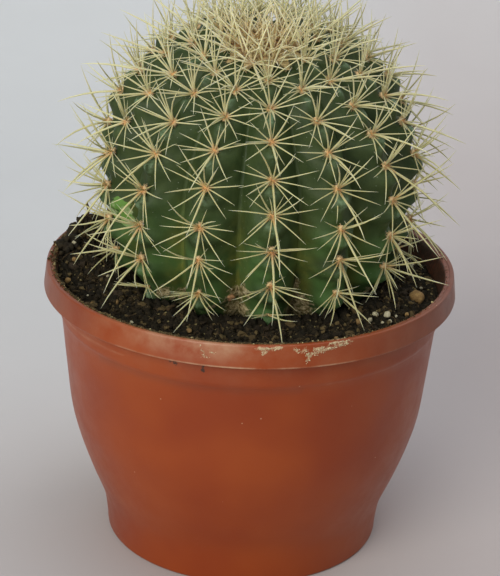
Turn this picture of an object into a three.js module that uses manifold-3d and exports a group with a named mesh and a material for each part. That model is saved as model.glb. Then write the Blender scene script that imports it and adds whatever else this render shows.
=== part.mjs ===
// Potted round cactus: a ribbed barrel cactus with straw-yellow spines, leaning towards
// the viewer, planted in dark soil in a moulded plastic pot.
// Millimetres, +Z up. The origin is the centre of the pot's base; the viewer stands at -Y.
import * as THREE from 'three';
import { mergeVertices } from 'three/addons/utils/BufferGeometryUtils.js';
import Module from 'manifold-3d';

const wasm = await Module();
wasm.setup();

// The shortest edge that is kept after joining
const leastEdge = 0.01;

// Pot
const potHeight = 104.2;
const potWall = 1.5;
const potFloor = 2.2;
const footRadius = 50.4;
const rimOuterRadius = 73.3;
const rimInnerRadius = 70.5;
const rimThickness = 1.7;
const rimStep = 0.4;
const rimLipWidth = 1.4;
const edgeRound = 0.8;
const collarHeight = 8.2;
const collarRadius = 74.4;
const collarWall = 1.5;
const neckRadius = 68.8;
const neckStep = 0.7;
const neckStepDrop = 10.5;
const neckStepRise = 0.9;
const potSides = 40;
const outerWallSteps = 8;
const innerWallSteps = 6;
const drainHoles = 6;
const drainHoleRadius = 4;
const drainCircleRadius = 34;
const drainHoleSides = 8;

// Soil
const fit = 0.3;
const soilLevel = 99.8;
const soilRings = [67, 64, 60.5, 57, 53, 49, 44, 36];
const soilDip = 3.5;
const soilDipStart = 48;
const heapHeight = 12.5;
const heapAngle = THREE.MathUtils.degToRad(160);
const heapSpread = THREE.MathUtils.degToRad(24);
const heapRadius = 67;
const heapDepth = 9;
const lumpHeight = 0.8;
const lumpLength = 6;
const grainSink = 0.3;

// Pale perlite grains and one pebble that stick out of the soil: place and radius
const soilGrains = [
  { x: 48.2, y: -31.8, radius: 1.5 },
  { x: 44.1, y: -32.1, radius: 1.2 },
  { x: 42, y: -37.3, radius: 1.2 },
  { x: 38, y: -38.7, radius: 1.3 },
  { x: 59.8, y: -11.4, radius: 2.5 },
  { x: -64.5, y: 7.3, radius: 1.3 },
  { x: -64.9, y: -12.8, radius: 1.4 },
  { x: 10, y: 62, radius: 1.6 },
  { x: 50, y: 38, radius: 1.5 },
];

// Barrel of the cactus, in its own frame: the centre at the widest ring, the crown up
const barrelCentre = new THREE.Vector3(1.6, 2.1, 142.7);
const lean = THREE.MathUtils.degToRad(16.5);
const crestRadius = 55.2;
const crownHeight = 50.4;
const crownFlatRadius = 15;
const taperDepth = 43.6;
const taperLoss = 0.17;
const barrelBottom = -62;
const ribs = 14;
const firstRibAngle = THREE.MathUtils.degToRad(5.5);
const grooveShare = 0.165;
const crestShare = 0.2;
const barrelRows = 14;
const plainSides = 28;
const plainRows = 8;
const hollowGap = 0.45;

// Felt pads and spines
const padRadius = 1.4;
const padEdgeHeight = 0.6;
const padHeight = 1;
const padRootDepth = 0.7;
const firstPadArc = 20;
const leastPadArc = 16.2;
const padPitch = 10.4;
const padPitchGrowth = 0.36;
const padsOnRib = 10;
const padsEndAbove = 6;
const lowestPad = 2.5;
// Pads close above the soil have shorter spines, full length again higher up
const lowPadReach = 0.6;
const lowPadTop = 5;
const fullReachFrom = 14;
const soilClearance = 1.4;
const leastRise = 0.15;
const leastSpread = Math.cos(THREE.MathUtils.degToRad(14));
const spineRadius = 0.75;
const spineGap = 0.25;
const spineReach = 45;
const spineSteps = [0.1, 0.2, 0.3, 0.4, 0.5, 0.6, 0.7, 0.8, 0.9, 1];
const nudges = [0, 6, -6, 12, -12, 18, -18];

// Crown wool
const woolHeight = 3.4;
const woolRings = 3;
const woolEdge = 0.6;
const youngSpines = 56;
const youngSpineLength = 7.5;
const youngSpineGrowth = 4;
const youngSpineRadius = 0.55;
const youngSpineTilt = 0.7;
const goldenAngle = Math.PI * (3 - Math.sqrt(5));

// How far along its first step each rib's pads start, for the ribs from the left
// round the front to the right, then round the back.
const ribPhase = [0.2, 0.22, 0.54, 0.05, 0.64, 0.7, 0.4, 0.9, 0.3, 0.75, 0.15, 0.6, 0.95, 0.45];
const leftmostRib = -3;

// A felt pad has four facets round its edge and four on top, between these turns from the
// crownward direction.
const padCorners = [0, 100, 180, 260];

// The spines of a pad: the facet that each is drawn out of, its turn from the crownward
// direction, its rise above the skin and its length. The central ones stand on the pad's top.
const spinePlan = [
  { facet: 0, turn: 74, rise: 17, length: 15.5 },
  { facet: 1, turn: 130, rise: 19, length: 15 },
  { facet: 2, turn: -132, rise: 19, length: 14 },
  { facet: 3, turn: -76, rise: 17, length: 14.5 },
  { facet: 0, turn: 38, rise: 45, length: 19, central: true },
  { facet: 1, turn: 176, rise: 42, length: 21, central: true },
  { facet: 2, turn: -108, rise: 50, length: 16, central: true },
  { facet: 3, turn: -26, rise: 43, length: 18, central: true },
];

// A repeatable draw between -1 and 1.
function draw(seed) {
  const s = Math.sin(seed * 12.9898) * 43758.5453;
  return (s - Math.floor(s)) * 2 - 1;
}

function solidOf(geometry) {
  const bare = new THREE.BufferGeometry();
  bare.setAttribute('position', geometry.getAttribute('position'));
  if (geometry.index) bare.setIndex(geometry.index);
  const merged = mergeVertices(bare, 1e-4);
  return new wasm.Manifold(new wasm.Mesh({
    numProp: 3,
    vertProperties: new Float32Array(merged.getAttribute('position').array),
    triVerts: new Uint32Array(merged.index.array),
  }));
}

// A solid's faces, with corners that joining left closer than the least edge drawn into one.
function geometryOf(solid) {
  const { vertProperties, numProp, triVerts } = solid.getMesh();
  const positions = new THREE.BufferAttribute(vertProperties, numProp);
  const cornerAt = (i) => new THREE.Vector3().fromBufferAttribute(positions, i);
  const drawnInto = Array.from({ length: positions.count }, (_, i) => i);
  const settled = (i) => (drawnInto[i] === i ? i : settled(drawnInto[i]));
  triVerts.forEach((corner, i) => {
    const a = settled(corner);
    const b = settled(triVerts[i % 3 === 2 ? i - 2 : i + 1]);
    if (cornerAt(a).distanceTo(cornerAt(b)) < leastEdge) drawnInto[b] = a;
  });
  const faces = [];
  for (let i = 0; i < triVerts.length; i += 3) {
    const face = [0, 1, 2].map((j) => settled(triVerts[i + j]));
    if (new Set(face).size === 3) faces.push(...face);
  }
  const geometry = new THREE.BufferGeometry();
  geometry.setAttribute('position', positions);
  geometry.setIndex(faces);
  return geometry;
}

// Joins many solids two by two.
function joined(solids) {
  let level = solids;
  while (level.length > 1) {
    const next = [];
    for (let i = 0; i < level.length; i += 2) {
      next.push(i + 1 < level.length ? level[i].add(level[i + 1]) : level[i]);
    }
    level = next;
  }
  return level[0];
}

function part(name, solid, color, roughness) {
  const material = new THREE.MeshStandardMaterial({ color, roughness, metalness: 0 });
  const mesh = new THREE.Mesh(geometryOf(solid), material);
  mesh.name = name;
  return mesh;
}

// A closed skin over rings of points, from the first ring to the last, with both ends
// closed to a middle point. Each ring runs anticlockwise seen from +Z, and the rings go up.
function skinOver(rings, bottomPoint, topPoint) {
  const around = rings[0].length;
  const points = [...rings.flat(), bottomPoint, topPoint];
  const bottom = points.length - 2;
  const top = points.length - 1;
  const faces = [];
  for (let j = 0; j < around; j++) {
    const k = (j + 1) % around;
    faces.push(bottom, k, j);
    const last = (rings.length - 1) * around;
    faces.push(top, last + j, last + k);
    for (let i = 0; i + 1 < rings.length; i++) {
      const a = i * around;
      const b = a + around;
      faces.push(a + j, a + k, b + k, a + j, b + k, b + j);
    }
  }
  const geometry = new THREE.BufferGeometry();
  geometry.setFromPoints(points);
  geometry.setIndex(faces);
  return geometry;
}

// The pot's outer wall, from the foot to the neck: foot, S-curve, belly and straight shoulder.
const potWallCurve = new THREE.SplineCurve([
  new THREE.Vector2(footRadius + 0.2, 4),
  new THREE.Vector2(52.3, 14.5),
  new THREE.Vector2(57.2, 27),
  new THREE.Vector2(61.4, 39),
  new THREE.Vector2(64.3, 50.5),
  new THREE.Vector2(66.0, 65),
  new THREE.Vector2(neckRadius - neckStep, potHeight - collarHeight - neckStepDrop),
]);

// Points down the inside of the pot's wall, at a distance in from its outer face.
function insideWall(distance) {
  return potWallCurve.getPoints(innerWallSteps).map((p) => new THREE.Vector2(p.x - distance, p.y));
}

function potSolid() {
  const skirtBottom = potHeight - collarHeight;
  const underRim = potHeight - rimThickness;
  const neckTop = skirtBottom - neckStepDrop + neckStepRise;
  const outer = potWallCurve.getPoints(outerWallSteps);
  const inner = insideWall(potWall).reverse();
  const xy = (x, y) => new THREE.Vector2(x, y);
  const profile = [
    xy(0, 0),
    xy(footRadius - edgeRound - 0.5, 0),
    xy(footRadius - 0.3, edgeRound),
    ...outer,
    xy(neckRadius, neckTop),
    xy(neckRadius + 0.3, skirtBottom),
    xy(rimInnerRadius + 0.6, underRim),
    xy(rimOuterRadius - collarWall + 0.3, underRim),
    xy(collarRadius - collarWall, skirtBottom),
    xy(collarRadius, skirtBottom),
    xy(rimOuterRadius + 0.2, potHeight - edgeRound),
    xy(rimOuterRadius - 0.5, potHeight),
    xy(rimOuterRadius - rimLipWidth + 0.2, potHeight),
    xy(rimOuterRadius - rimLipWidth, potHeight - rimStep),
    xy(rimInnerRadius, potHeight - rimStep),
    xy(rimInnerRadius - 0.5, potHeight - rimStep - 1),
    xy(neckRadius - potWall + 0.4, skirtBottom - 2),
    ...inner,
    xy(footRadius - potWall - edgeRound, potFloor),
    xy(0, potFloor),
  ];
  const turned = new THREE.LatheGeometry(profile, potSides);
  turned.rotateX(Math.PI / 2);
  let pot = solidOf(turned);
  for (let i = 0; i < drainHoles; i++) {
    const depth = potFloor * 4;
    const hole = new THREE.CylinderGeometry(drainHoleRadius, drainHoleRadius, depth, drainHoleSides);
    hole.rotateX(Math.PI / 2);
    hole.translate(drainCircleRadius, 0, 0);
    hole.rotateZ(THREE.MathUtils.degToRad(360 * (i + 0.5) / drainHoles));
    pot = pot.subtract(solidOf(hole));
  }
  return pot;
}

// How high the soil stands at a point: level round the plant, lower at the pot's wall,
// heaped at the left back, with small lumps.
function soilHeight(x, y) {
  const fromAxis = Math.hypot(x, y);
  const dip = THREE.MathUtils.smoothstep(fromAxis, soilDipStart, rimInnerRadius);
  const round = Math.atan2(y, x) - heapAngle;
  const offHeap = Math.atan2(Math.sin(round), Math.cos(round));
  const heap = Math.exp(-((offHeap / heapSpread) ** 2) - ((fromAxis - heapRadius) / heapDepth) ** 2);
  const wave = (2 * Math.PI) / lumpLength;
  const lumps = Math.sin(x * wave * 0.7 + 2 * Math.sin(y * wave * 0.3)) * Math.cos(y * wave * 0.6 + x);
  return soilLevel - soilDip * dip + heapHeight * heap + lumpHeight * lumps;
}

function ringAt(radius, sides, heightOf) {
  return Array.from({ length: sides }, (_, j) => {
    const angle = (j / sides) * 2 * Math.PI;
    const x = radius * Math.cos(angle);
    const y = radius * Math.sin(angle);
    return new THREE.Vector3(x, y, heightOf(x, y));
  });
}

function soilSolid() {
  const inset = potWall + fit;
  const bottom = potFloor + fit;
  const brim = neckRadius - inset - fit;
  const underBrim = potHeight - collarHeight - 3;
  const rings = [
    ringAt(footRadius - inset - edgeRound, potSides, () => bottom),
    ...insideWall(inset).map((p) => ringAt(p.x, potSides, () => p.y)),
    ringAt(brim, potSides, (x, y) => Math.min(soilHeight(x, y) - 1, underBrim)),
    ...soilRings.map((radius) => ringAt(radius, potSides, soilHeight)),
  ];
  const middle = new THREE.Vector3(0, 0, soilLevel);
  let soil = solidOf(skinOver(rings, new THREE.Vector3(0, 0, bottom), middle));
  soil = soil.subtract(solidOf(plainBarrel(hollowGap).applyMatrix4(barrelFrame)));
  for (const grain of soilGrains) {
    const shape = new THREE.IcosahedronGeometry(grain.radius, 0);
    shape.translate(grain.x, grain.y, soilHeight(grain.x, grain.y) - grain.radius * grainSink);
    soil = soil.add(solidOf(shape));
  }
  return soil;
}

// From the barrel's own frame to the pot's.
const barrelFrame = new THREE.Matrix4().makeRotationX(lean).setPosition(barrelCentre);
const skyward = new THREE.Vector3(0, 0, 1).transformDirection(barrelFrame.clone().invert());

// The barrel's outline from the crown down: x is the distance from its axis, y the height.
class BarrelOutline extends THREE.Curve {
  getPoint(t, target = new THREE.Vector2()) {
    const domeShare = 0.58;
    if (t < domeShare) {
      const angle = (t / domeShare) * (Math.PI / 2);
      return target.set(crestRadius * Math.sin(angle), crownHeight * Math.cos(angle));
    }
    const height = ((t - domeShare) / (1 - domeShare)) * barrelBottom;
    return target.set(crestRadius * (1 - taperLoss * (height / taperDepth) ** 2), height);
  }
}
const outline = new BarrelOutline();
const outlineLength = outline.getLength();
const crownEdge = crestRadius * Math.asin(crownFlatRadius / crestRadius);
const crownRing = outline.getPointAt(crownEdge / outlineLength);
const woolRadius = crownRing.x - 1;
const woolBottom = crownRing.y + fit;

// A ring's radius at a turn between ribs, where 0 is a crest and 1 is a groove.
function ribbed(radius, turn) {
  const flank = Math.max(0, turn - crestShare) / (1 - crestShare);
  return radius * (1 - grooveShare * flank * (0.4 + 0.6 * flank));
}

function onBarrel(radius, angle, height) {
  return new THREE.Vector3(radius * Math.sin(angle), -radius * Math.cos(angle), height);
}

function barrelRings(rows, ringPoints) {
  return Array.from({ length: rows }, (_, i) => {
    const arc = THREE.MathUtils.lerp(outlineLength, crownEdge, i / (rows - 1));
    return ringPoints(outline.getPointAt(arc / outlineLength));
  });
}

function ribbedBarrel() {
  const halfRib = Math.PI / ribs;
  const turns = [-1, -0.6, -crestShare, crestShare, 0.6];
  const rings = barrelRings(barrelRows, (p) => {
    const ring = [];
    for (let rib = 0; rib < ribs; rib++) {
      const crest = firstRibAngle + rib * 2 * halfRib;
      for (const turn of turns) {
        ring.push(onBarrel(ribbed(p.x, Math.abs(turn)), crest + turn * halfRib, p.y));
      }
    }
    return ring;
  });
  const crown = new THREE.Vector3(0, 0, rings[rings.length - 1][0].z);
  return skinOver(rings, new THREE.Vector3(0, 0, barrelBottom), crown);
}

// The barrel without its ribs, grown by a gap: the plain hollow it stands in.
function plainBarrel(gap) {
  const reach = 1 / Math.cos(Math.PI / plainSides);
  const rings = barrelRings(plainRows, (p) => (
    Array.from({ length: plainSides }, (_, j) => (
      onBarrel((p.x + gap) * reach, (j / plainSides) * 2 * Math.PI, p.y)
    ))
  ));
  const top = new THREE.Vector3(0, 0, rings[rings.length - 1][0].z);
  return skinOver(rings, new THREE.Vector3(0, 0, barrelBottom - gap), top);
}

// Every felt pad on the ribs: its place, and the directions out, crownward and sideways.
function feltPads() {
  const pads = [];
  for (let k = 0; k < ribs; k++) {
    const angle = firstRibAngle + ((leftmostRib + k) * 2 * Math.PI) / ribs;
    for (let n = -1; n < padsOnRib; n++) {
      const step = n + ribPhase[k] + 0.06 * draw(k * 31 + n);
      const arc = firstPadArc + padPitch * step + padPitchGrowth * step * step;
      if (arc < leastPadArc || arc > outlineLength - padsEndAbove) continue;
      const point = outline.getPointAt(arc / outlineLength);
      const along = outline.getTangentAt(arc / outlineLength);
      const place = onBarrel(point.x, angle, point.y);
      const world = place.clone().applyMatrix4(barrelFrame);
      const above = world.z - soilHeight(world.x, world.y);
      if (above < lowestPad) continue;
      pads.push({
        place,
        arc,
        reach: THREE.MathUtils.lerp(lowPadReach, 1, THREE.MathUtils.smoothstep(above, lowPadTop, fullReachFrom)),
        seed: k * 100 + n * 7 + 1,
        out: onBarrel(-along.y, angle, along.x),
        crownward: onBarrel(-along.x, angle, -along.y),
        side: new THREE.Vector3(Math.cos(angle), Math.sin(angle), 0),
      });
    }
  }
  return pads;
}

// The height that a spine has to clear at a point of the pot's frame.
function groundUnder(x, y) {
  const fromAxis = Math.hypot(x, y);
  if (fromAxis < rimInnerRadius - 1) return soilHeight(x, y) + soilClearance;
  return fromAxis < collarRadius + 1 ? potHeight + 1 : -Infinity;
}

function clearOfGround(root, direction, length) {
  return [0.4, 0.7, 1].every((share) => {
    const point = root.clone().addScaledVector(direction, length * share).applyMatrix4(barrelFrame);
    return point.z > groundUnder(point.x, point.y);
  });
}

// True where a spine comes too near one that stands on another pad. Both taper to a point.
function meetsAnother(line, pad, placed) {
  const onLine = new THREE.Vector3();
  const onOther = new THREE.Vector3();
  return placed.some((other) => {
    if (other.pad === pad || other.line.start.distanceTo(line.start) > spineReach) return false;
    return spineSteps.some((share) => {
      line.at(share, onLine);
      const near = other.line.closestPointToPointParameter(onLine, true);
      const thickness = spineRadius * (2 - share - near);
      return other.line.at(near, onOther).distanceTo(onLine) < thickness + spineGap;
    });
  });
}

// The way a spine points. Spines near the crown stand up more, low ones hang down more, and
// one that would dig into the soil is bent up until it is clear of it.
function spineWay(pad, plan, seed, nudge) {
  const upright = 24 * Math.max(0, 1 - pad.arc / 62);
  const hanging = 0.25 * THREE.MathUtils.smoothstep(pad.arc, 72, 112);
  const planned = plan.turn + 6 * draw(seed) + nudge;
  const turn = THREE.MathUtils.degToRad(planned + Math.sign(planned) * (180 - Math.abs(planned)) * hanging);
  const rise = THREE.MathUtils.degToRad(plan.rise + upright + 4 * draw(seed + 0.37));
  const length = plan.length * pad.reach * (1 + 0.13 * draw(seed + 0.71));
  const direction = new THREE.Vector3()
    .addScaledVector(pad.crownward, Math.cos(rise) * Math.cos(turn))
    .addScaledVector(pad.side, Math.cos(rise) * Math.sin(turn))
    .addScaledVector(pad.out, Math.sin(rise));
  for (let tries = 0; tries < 12 && !clearOfGround(pad.place, direction, length); tries++) {
    direction.addScaledVector(skyward, 0.12).normalize();
  }
  return new THREE.Line3(pad.place, pad.place.clone().addScaledVector(direction, length));
}

// The tip of a spine, nudged aside until it passes its neighbours, or null if there is no room.
function spineTip(pad, plan, placed) {
  const seed = pad.seed + spinePlan.indexOf(plan) * 0.13;
  for (const nudge of nudges) {
    const line = spineWay(pad, plan, seed, nudge);
    const length = line.distance();
    const way = line.delta(new THREE.Vector3()).normalize();
    const crowded = placed.some((other) => other.pad === pad && other.way.dot(way) > leastSpread);
    if (!crowded && way.dot(pad.out) > leastRise && clearOfGround(pad.place, way, length)
      && !meetsAnother(line, pad, placed)) {
      placed.push({ pad, line, way });
      return line.end;
    }
  }
  return null;
}

// A felt pad sunk in its rib, with its spines drawn out of its facets to points.
function spinyPad(pad, placed) {
  const corner = (degrees, radius, height) => {
    const turn = THREE.MathUtils.degToRad(degrees);
    return pad.place.clone()
      .addScaledVector(pad.crownward, radius * Math.cos(turn))
      .addScaledVector(pad.side, radius * Math.sin(turn))
      .addScaledVector(pad.out, height);
  };
  const count = padCorners.length;
  const points = [
    ...padCorners.map((turn) => corner(turn, padRadius, -padRootDepth)),
    ...padCorners.map((turn) => corner(turn, padRadius, padEdgeHeight)),
    corner(0, 0, -padRootDepth),
    corner(0, 0, padHeight),
  ];
  const bottom = 2 * count;
  const top = bottom + 1;
  const faces = [];
  const drawOut = (edge, plan) => {
    const tip = plan && spineTip(pad, plan, placed);
    if (!tip) {
      for (let i = 1; i + 1 < edge.length; i++) faces.push(edge[0], edge[i], edge[i + 1]);
      return;
    }
    points.push(tip);
    edge.forEach((from, i) => faces.push(from, edge[(i + 1) % edge.length], points.length - 1));
  };
  for (let i = 0; i < count; i++) {
    const next = (i + 1) % count;
    const facet = spinePlan.filter((plan) => plan.facet === i);
    faces.push(bottom, i, next);
    drawOut([count + i, count + next, next, i], facet.find((plan) => !plan.central));
    drawOut([top, count + next, count + i], facet.find((plan) => plan.central));
  }
  const geometry = new THREE.BufferGeometry();
  geometry.setFromPoints(points);
  geometry.setIndex(faces);
  return solidOf(geometry);
}

// The axis of each short young spine of the crown, in a spiral over the wool.
function youngSpineLines() {
  const radius = 0.93 * woolRadius;
  return Array.from({ length: youngSpines }, (_, i) => {
    const share = Math.sqrt((i + 0.5) / youngSpines);
    const depth = (woolHeight - 1.2) * Math.sqrt(1 - 0.95 * share * share);
    const angle = i * goldenAngle;
    const tilt = youngSpineTilt * share + 0.12 * draw(i + 5);
    const root = onBarrel(radius * share, angle, woolBottom + depth);
    const way = onBarrel(Math.sin(tilt), angle + 0.3 * draw(i + 9), Math.cos(tilt));
    const length = (youngSpineLength + youngSpineGrowth * share) * (1 + 0.2 * draw(i + 3));
    const line = new THREE.Line3(root, root.clone().addScaledVector(way, length));
    return { pad: 'crown', line, way };
  });
}

// The spines of the pads keep clear of one another and of the young spines.
function cactusSolid() {
  const placed = youngSpineLines();
  const pads = feltPads().map((pad) => spinyPad(pad, placed));
  return solidOf(ribbedBarrel()).add(joined(pads));
}

// A short three-sided spine along a line.
function youngSpine({ line, way }) {
  const length = line.distance();
  const shape = new THREE.ConeGeometry(youngSpineRadius, length, 3);
  shape.translate(0, length / 2, 0);
  shape.applyQuaternion(new THREE.Quaternion().setFromUnitVectors(THREE.Object3D.DEFAULT_UP, way));
  shape.translate(...line.start.toArray());
  return solidOf(shape);
}

// A low dome of wool with the young spines standing in it.
function crownSolid() {
  const dome = woolHeight - woolEdge;
  const rings = [ringAt(woolRadius, ribs, () => woolBottom)];
  for (let i = 0; i < woolRings; i++) {
    const angle = (i / woolRings) * (Math.PI / 2);
    const height = woolBottom + woolEdge + dome * Math.sin(angle);
    rings.push(ringAt(woolRadius * Math.cos(angle), ribs, () => height));
  }
  const top = new THREE.Vector3(0, 0, woolBottom + woolHeight);
  const wool = solidOf(skinOver(rings, new THREE.Vector3(0, 0, woolBottom), top));
  return joined([wool, ...youngSpineLines().map(youngSpine)]);
}

const pottedCactus = new THREE.Group();
pottedCactus.name = 'potted_round_cactus';
pottedCactus.add(part('pot', potSolid(), 0x9c4a2b, 0.42));
pottedCactus.add(part('potting_soil', soilSolid(), 0x241d17, 0.95));

// The plant leans as one: its pieces are made upright in the barrel's frame.
const plant = new THREE.Group();
plant.position.copy(barrelCentre);
plant.rotation.x = lean;
plant.add(part('cactus', cactusSolid(), 0x3d5a33, 0.5));
plant.add(part('crown_wool', crownSolid(), 0xb89468, 0.9));
pottedCactus.add(plant);

export default pottedCactus;
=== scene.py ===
import math

import bpy
import numpy as np
from mathutils import Matrix, Vector, noise


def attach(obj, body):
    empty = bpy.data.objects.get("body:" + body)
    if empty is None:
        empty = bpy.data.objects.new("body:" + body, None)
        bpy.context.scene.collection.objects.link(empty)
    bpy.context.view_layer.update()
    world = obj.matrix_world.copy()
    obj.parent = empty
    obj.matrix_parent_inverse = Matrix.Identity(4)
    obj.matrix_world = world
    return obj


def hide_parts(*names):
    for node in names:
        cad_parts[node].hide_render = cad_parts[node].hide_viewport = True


# Potted round cactus: a ribbed barrel with straw-yellow spines, leaning towards the camera,
# in dark peat in a moulded terracotta-coloured plastic pot. Sizes are in millimetres.
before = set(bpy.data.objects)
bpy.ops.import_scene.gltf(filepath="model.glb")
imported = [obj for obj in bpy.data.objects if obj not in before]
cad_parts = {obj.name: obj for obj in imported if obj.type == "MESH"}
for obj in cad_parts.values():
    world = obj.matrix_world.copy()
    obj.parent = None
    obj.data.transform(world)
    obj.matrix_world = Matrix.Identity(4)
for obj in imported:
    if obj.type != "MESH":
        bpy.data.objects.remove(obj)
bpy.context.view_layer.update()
MM = 0.001

# Photograph and camera
PHOTO_WIDTH = 500
PHOTO_HEIGHT = 576
FOCAL_PIXELS = 2074.2
CAMERA_DISTANCE = 750
CAMERA_ELEVATION = math.radians(22.09)
CAMERA_ROLL = math.radians(2.19)
RIM_CENTRE_PIXEL = (250.7, 261.83)

# Pot
POT_HEIGHT = 104.2
POT_WALL = 1.5
POT_FLOOR = 2.2
FOOT_RADIUS = 50.4
RIM_OUTER_RADIUS = 73.3
RIM_INNER_RADIUS = 70.5
RIM_STEP = 0.4
RIM_THICKNESS = 1.7
RIM_LIP_WIDTH = 1.4
COLLAR_HEIGHT = 8.2
COLLAR_RADIUS = 74.4
COLLAR_WALL = 1.5
RIM_ROWS = 14
NECK_RADIUS = 68.8
NECK_STEP = 0.7
NECK_STEP_DROP = 10.5
POT_SIDES = 360
OUTER_WALL_STEPS = 30
INNER_WALL_STEPS = 18
POT_SHARP_FROM = 50
DRAIN_HOLES = 6
DRAIN_HOLE_RADIUS = 4
DRAIN_CIRCLE_RADIUS = 34
DRAIN_HOLE_SIDES = 20

# Soil
SOIL_LEVEL = 99.8
SOIL_DIP = 3.5
SOIL_DIP_START = 48
HEAP_HEIGHT = 12.5
HEAP_ANGLE = math.radians(160)
HEAP_SPREAD = math.radians(24)
HEAP_RADIUS = 67
HEAP_DEPTH = 9
LUMP_HEIGHT = 0.8
LUMP_LENGTH = 6
SOIL_CLEARANCE = 1.4
SOIL_UNSEEN_RADIUS = 30
SOIL_SIDES = 450
SOIL_WALL_STEPS = 10
SOIL_TOP_SHARES = np.concatenate([np.linspace(0, 1, 62), np.linspace(1.1, 1.65, 5)])
HOLLOW_DEPTH = 3.4
HOLLOW_EDGE = 54
HOLLOW_FULL = 47
SKIN_LEVELS = np.arange(82, 116, 0.5)
SKIN_MARGIN = 0.4
FIT = 0.3
CLODS = 34
ROOT_FIBRES = 150
HEAP_FRONT_ANGLE = -110

# Dry bits laid one by one, each with its least and largest radius: one in front of the plant,
# a root at the left wall and a twig that stands in the heap
DRY_BITS = [
    ([(-28, -39, 101), (-26.8, -37.4, 101.4), (-25.8, -35.5, 101.1)], 0.5, 0.8),
    ([(-69, 1.8, 100.2), (-68, 2.4, 102), (-66.5, 3.2, 103.2), (-64.6, 4.4, 103.8)], 0.14, 0.18),
    ([(-61.3, 27.4, 106.5), (-61.5, 27.6, 109), (-61.0, 28.2, 111.5), (-61.9, 28.6, 113.6)], 0.5, 0.75),
]

# Barrel of the cactus, in its own frame: the centre at the widest ring, the crown up
BARREL_CENTRE = np.array([1.6, 2.1, 142.7])
LEAN = math.radians(16.5)
CREST_RADIUS = 55.2
CROWN_HEIGHT = 50.4
CROWN_FLAT_RADIUS = 15
TAPER_DEPTH = 43.6
TAPER_LOSS = 0.17
TAPER_POWER = 3
BARREL_BOTTOM = -62
DOME_SHARE = 0.58
RIBS = 14
FIRST_RIB_ANGLE = math.radians(5.5)
LEFTMOST_RIB = -3
GROOVE_SHARE = 0.165
FLANK_SHARE = 0.35
HOLLOW_SHARE = 0.65
CREST_ROUNDNESS = 0.08
CHIN_HEIGHT = 3.3
CHINS_FULL_FROM = 45
DIP_SHARE = 0.3
POINTS_PER_RIB = 24
BODY_ROWS = 132
BODY_TOP_SHARE = 0.45

# Forms of the skin at each pad: how far below the pad and how tall in millimetres, and how
# wide as a share of the way from crest to groove
CHIN = (4.9, 3.2, 0.55)
DIP = (-0.4, 1.8, 0.22)
# The pale bluish patch on each chin: a waxy coating, partly a painted highlight
BLOOM_AND_HIGHLIGHT = (4.2, 3.0, 0.2)

# Corky and healed spots of the skin: place in the pot's frame and reach
CORK_STRENGTH = 0.72
SCAR_STRENGTH = 0.88
CORK_SPOTS = [
    (-1, -39, 109, 5), (-5, -35, 106, 7.5), (18, -30.5, 103, 7.5), (19.5, -28.5, 98, 8),
    (12, -34, 108, 5), (-12.8, -37.5, 103, 4), (-30, -24, 102, 6), (42, -14, 103, 6),
    (15.3, -33, 110.3, 4.6),
]
SCAR_SPOTS = [
    (-49.4, -13, 126.8, 4.2), (-46, -18, 130.8, 4), (-45, -17.2, 127.8, 4.6), (-44, -16.5, 124.8, 4.4),
]

# Felt pads, in rows down the ribs from the left round the front to the right, then the back
RIB_PHASE = [0.2, 0.22, 0.54, 0.05, 0.64, 0.7, 0.4, 0.9, 0.3, 0.75, 0.15, 0.6, 0.95, 0.45]
FIRST_PAD_ARC = 20
LEAST_PAD_ARC = 16.2
PAD_PITCH = 10.4
PAD_PITCH_GROWTH = 0.36
PADS_ON_RIB = 10
PADS_END_ABOVE = 6
LOWEST_PAD = 0.8
PAD_SIZE = (1.6, 1.25, 0.95)
HAIRS_PER_SQUARE_METRE = 2.2e6
HAIR_LEAN = 0.7

# Spines: turn from the crownward direction, rise above the skin, length, radius at the root.
# The main ones are also in the solid model, and the fine ones are only here.
MAIN_SPINES = [
    (74, 17, 15.5, 0.29),
    (130, 19, 15, 0.29),
    (-132, 19, 14, 0.29),
    (-76, 17, 14.5, 0.29),
    (38, 45, 19, 0.35),
    (176, 42, 21, 0.44),
    (-108, 50, 16, 0.37),
    (-26, 43, 18, 0.35),
]
FINE_SPINES = [
    (98, 13, 14.5, 0.26),
    (-98, 12, 13, 0.26),
    (54, 16, 12, 0.25),
    (-52, 16, 11.5, 0.25),
    (155, 22, 13, 0.26),
    (-160, 20, 12, 0.26),
    (14, 24, 9, 0.22),
    (-8, 50, 15, 0.3),
]
CENTRAL_RISE = 40
CENTRAL_BEND = 0.07
RADIAL_BEND = 0.035
FINE_BEND = 0.03
FINE_DROPPED = 0.2
LOW_PAD_REACH = 0.6

# How spines change down the rib, by the arc from the crown in millimetres
CROWN_LIFT = 24
CROWN_LIFT_END = 62
LOW_HANG = 0.25
LOW_HANG_START = 72
LOW_HANG_FULL = 112
WAIST_REACH = 0.15
WAIST_ARC = 85
WAIST_SPREAD = 25

# How spines keep clear of one another: the order of a pad's main spines, the least rise and
# spread as shares of 1, and thicknesses, gap and reach in millimetres
FACET_ORDER = [0, 4, 1, 5, 2, 6, 3, 7]
LEAST_RISE = 0.15
LEAST_SPREAD = math.cos(math.radians(14))
FINE_SPREAD = math.cos(math.radians(11))
SPINE_RADIUS = 0.75
SPINE_GAP = 0.25
FINE_RADIUS = 0.1
SPINE_REACH = 45
SPINE_STEPS = np.arange(1, 11) / 10
NUDGES = [0, 6, -6, 12, -12, 18, -18]
STRAND_SIDES = 5
# What the crown's young spines have in place of a pad's number
CROWN = -1

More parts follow.
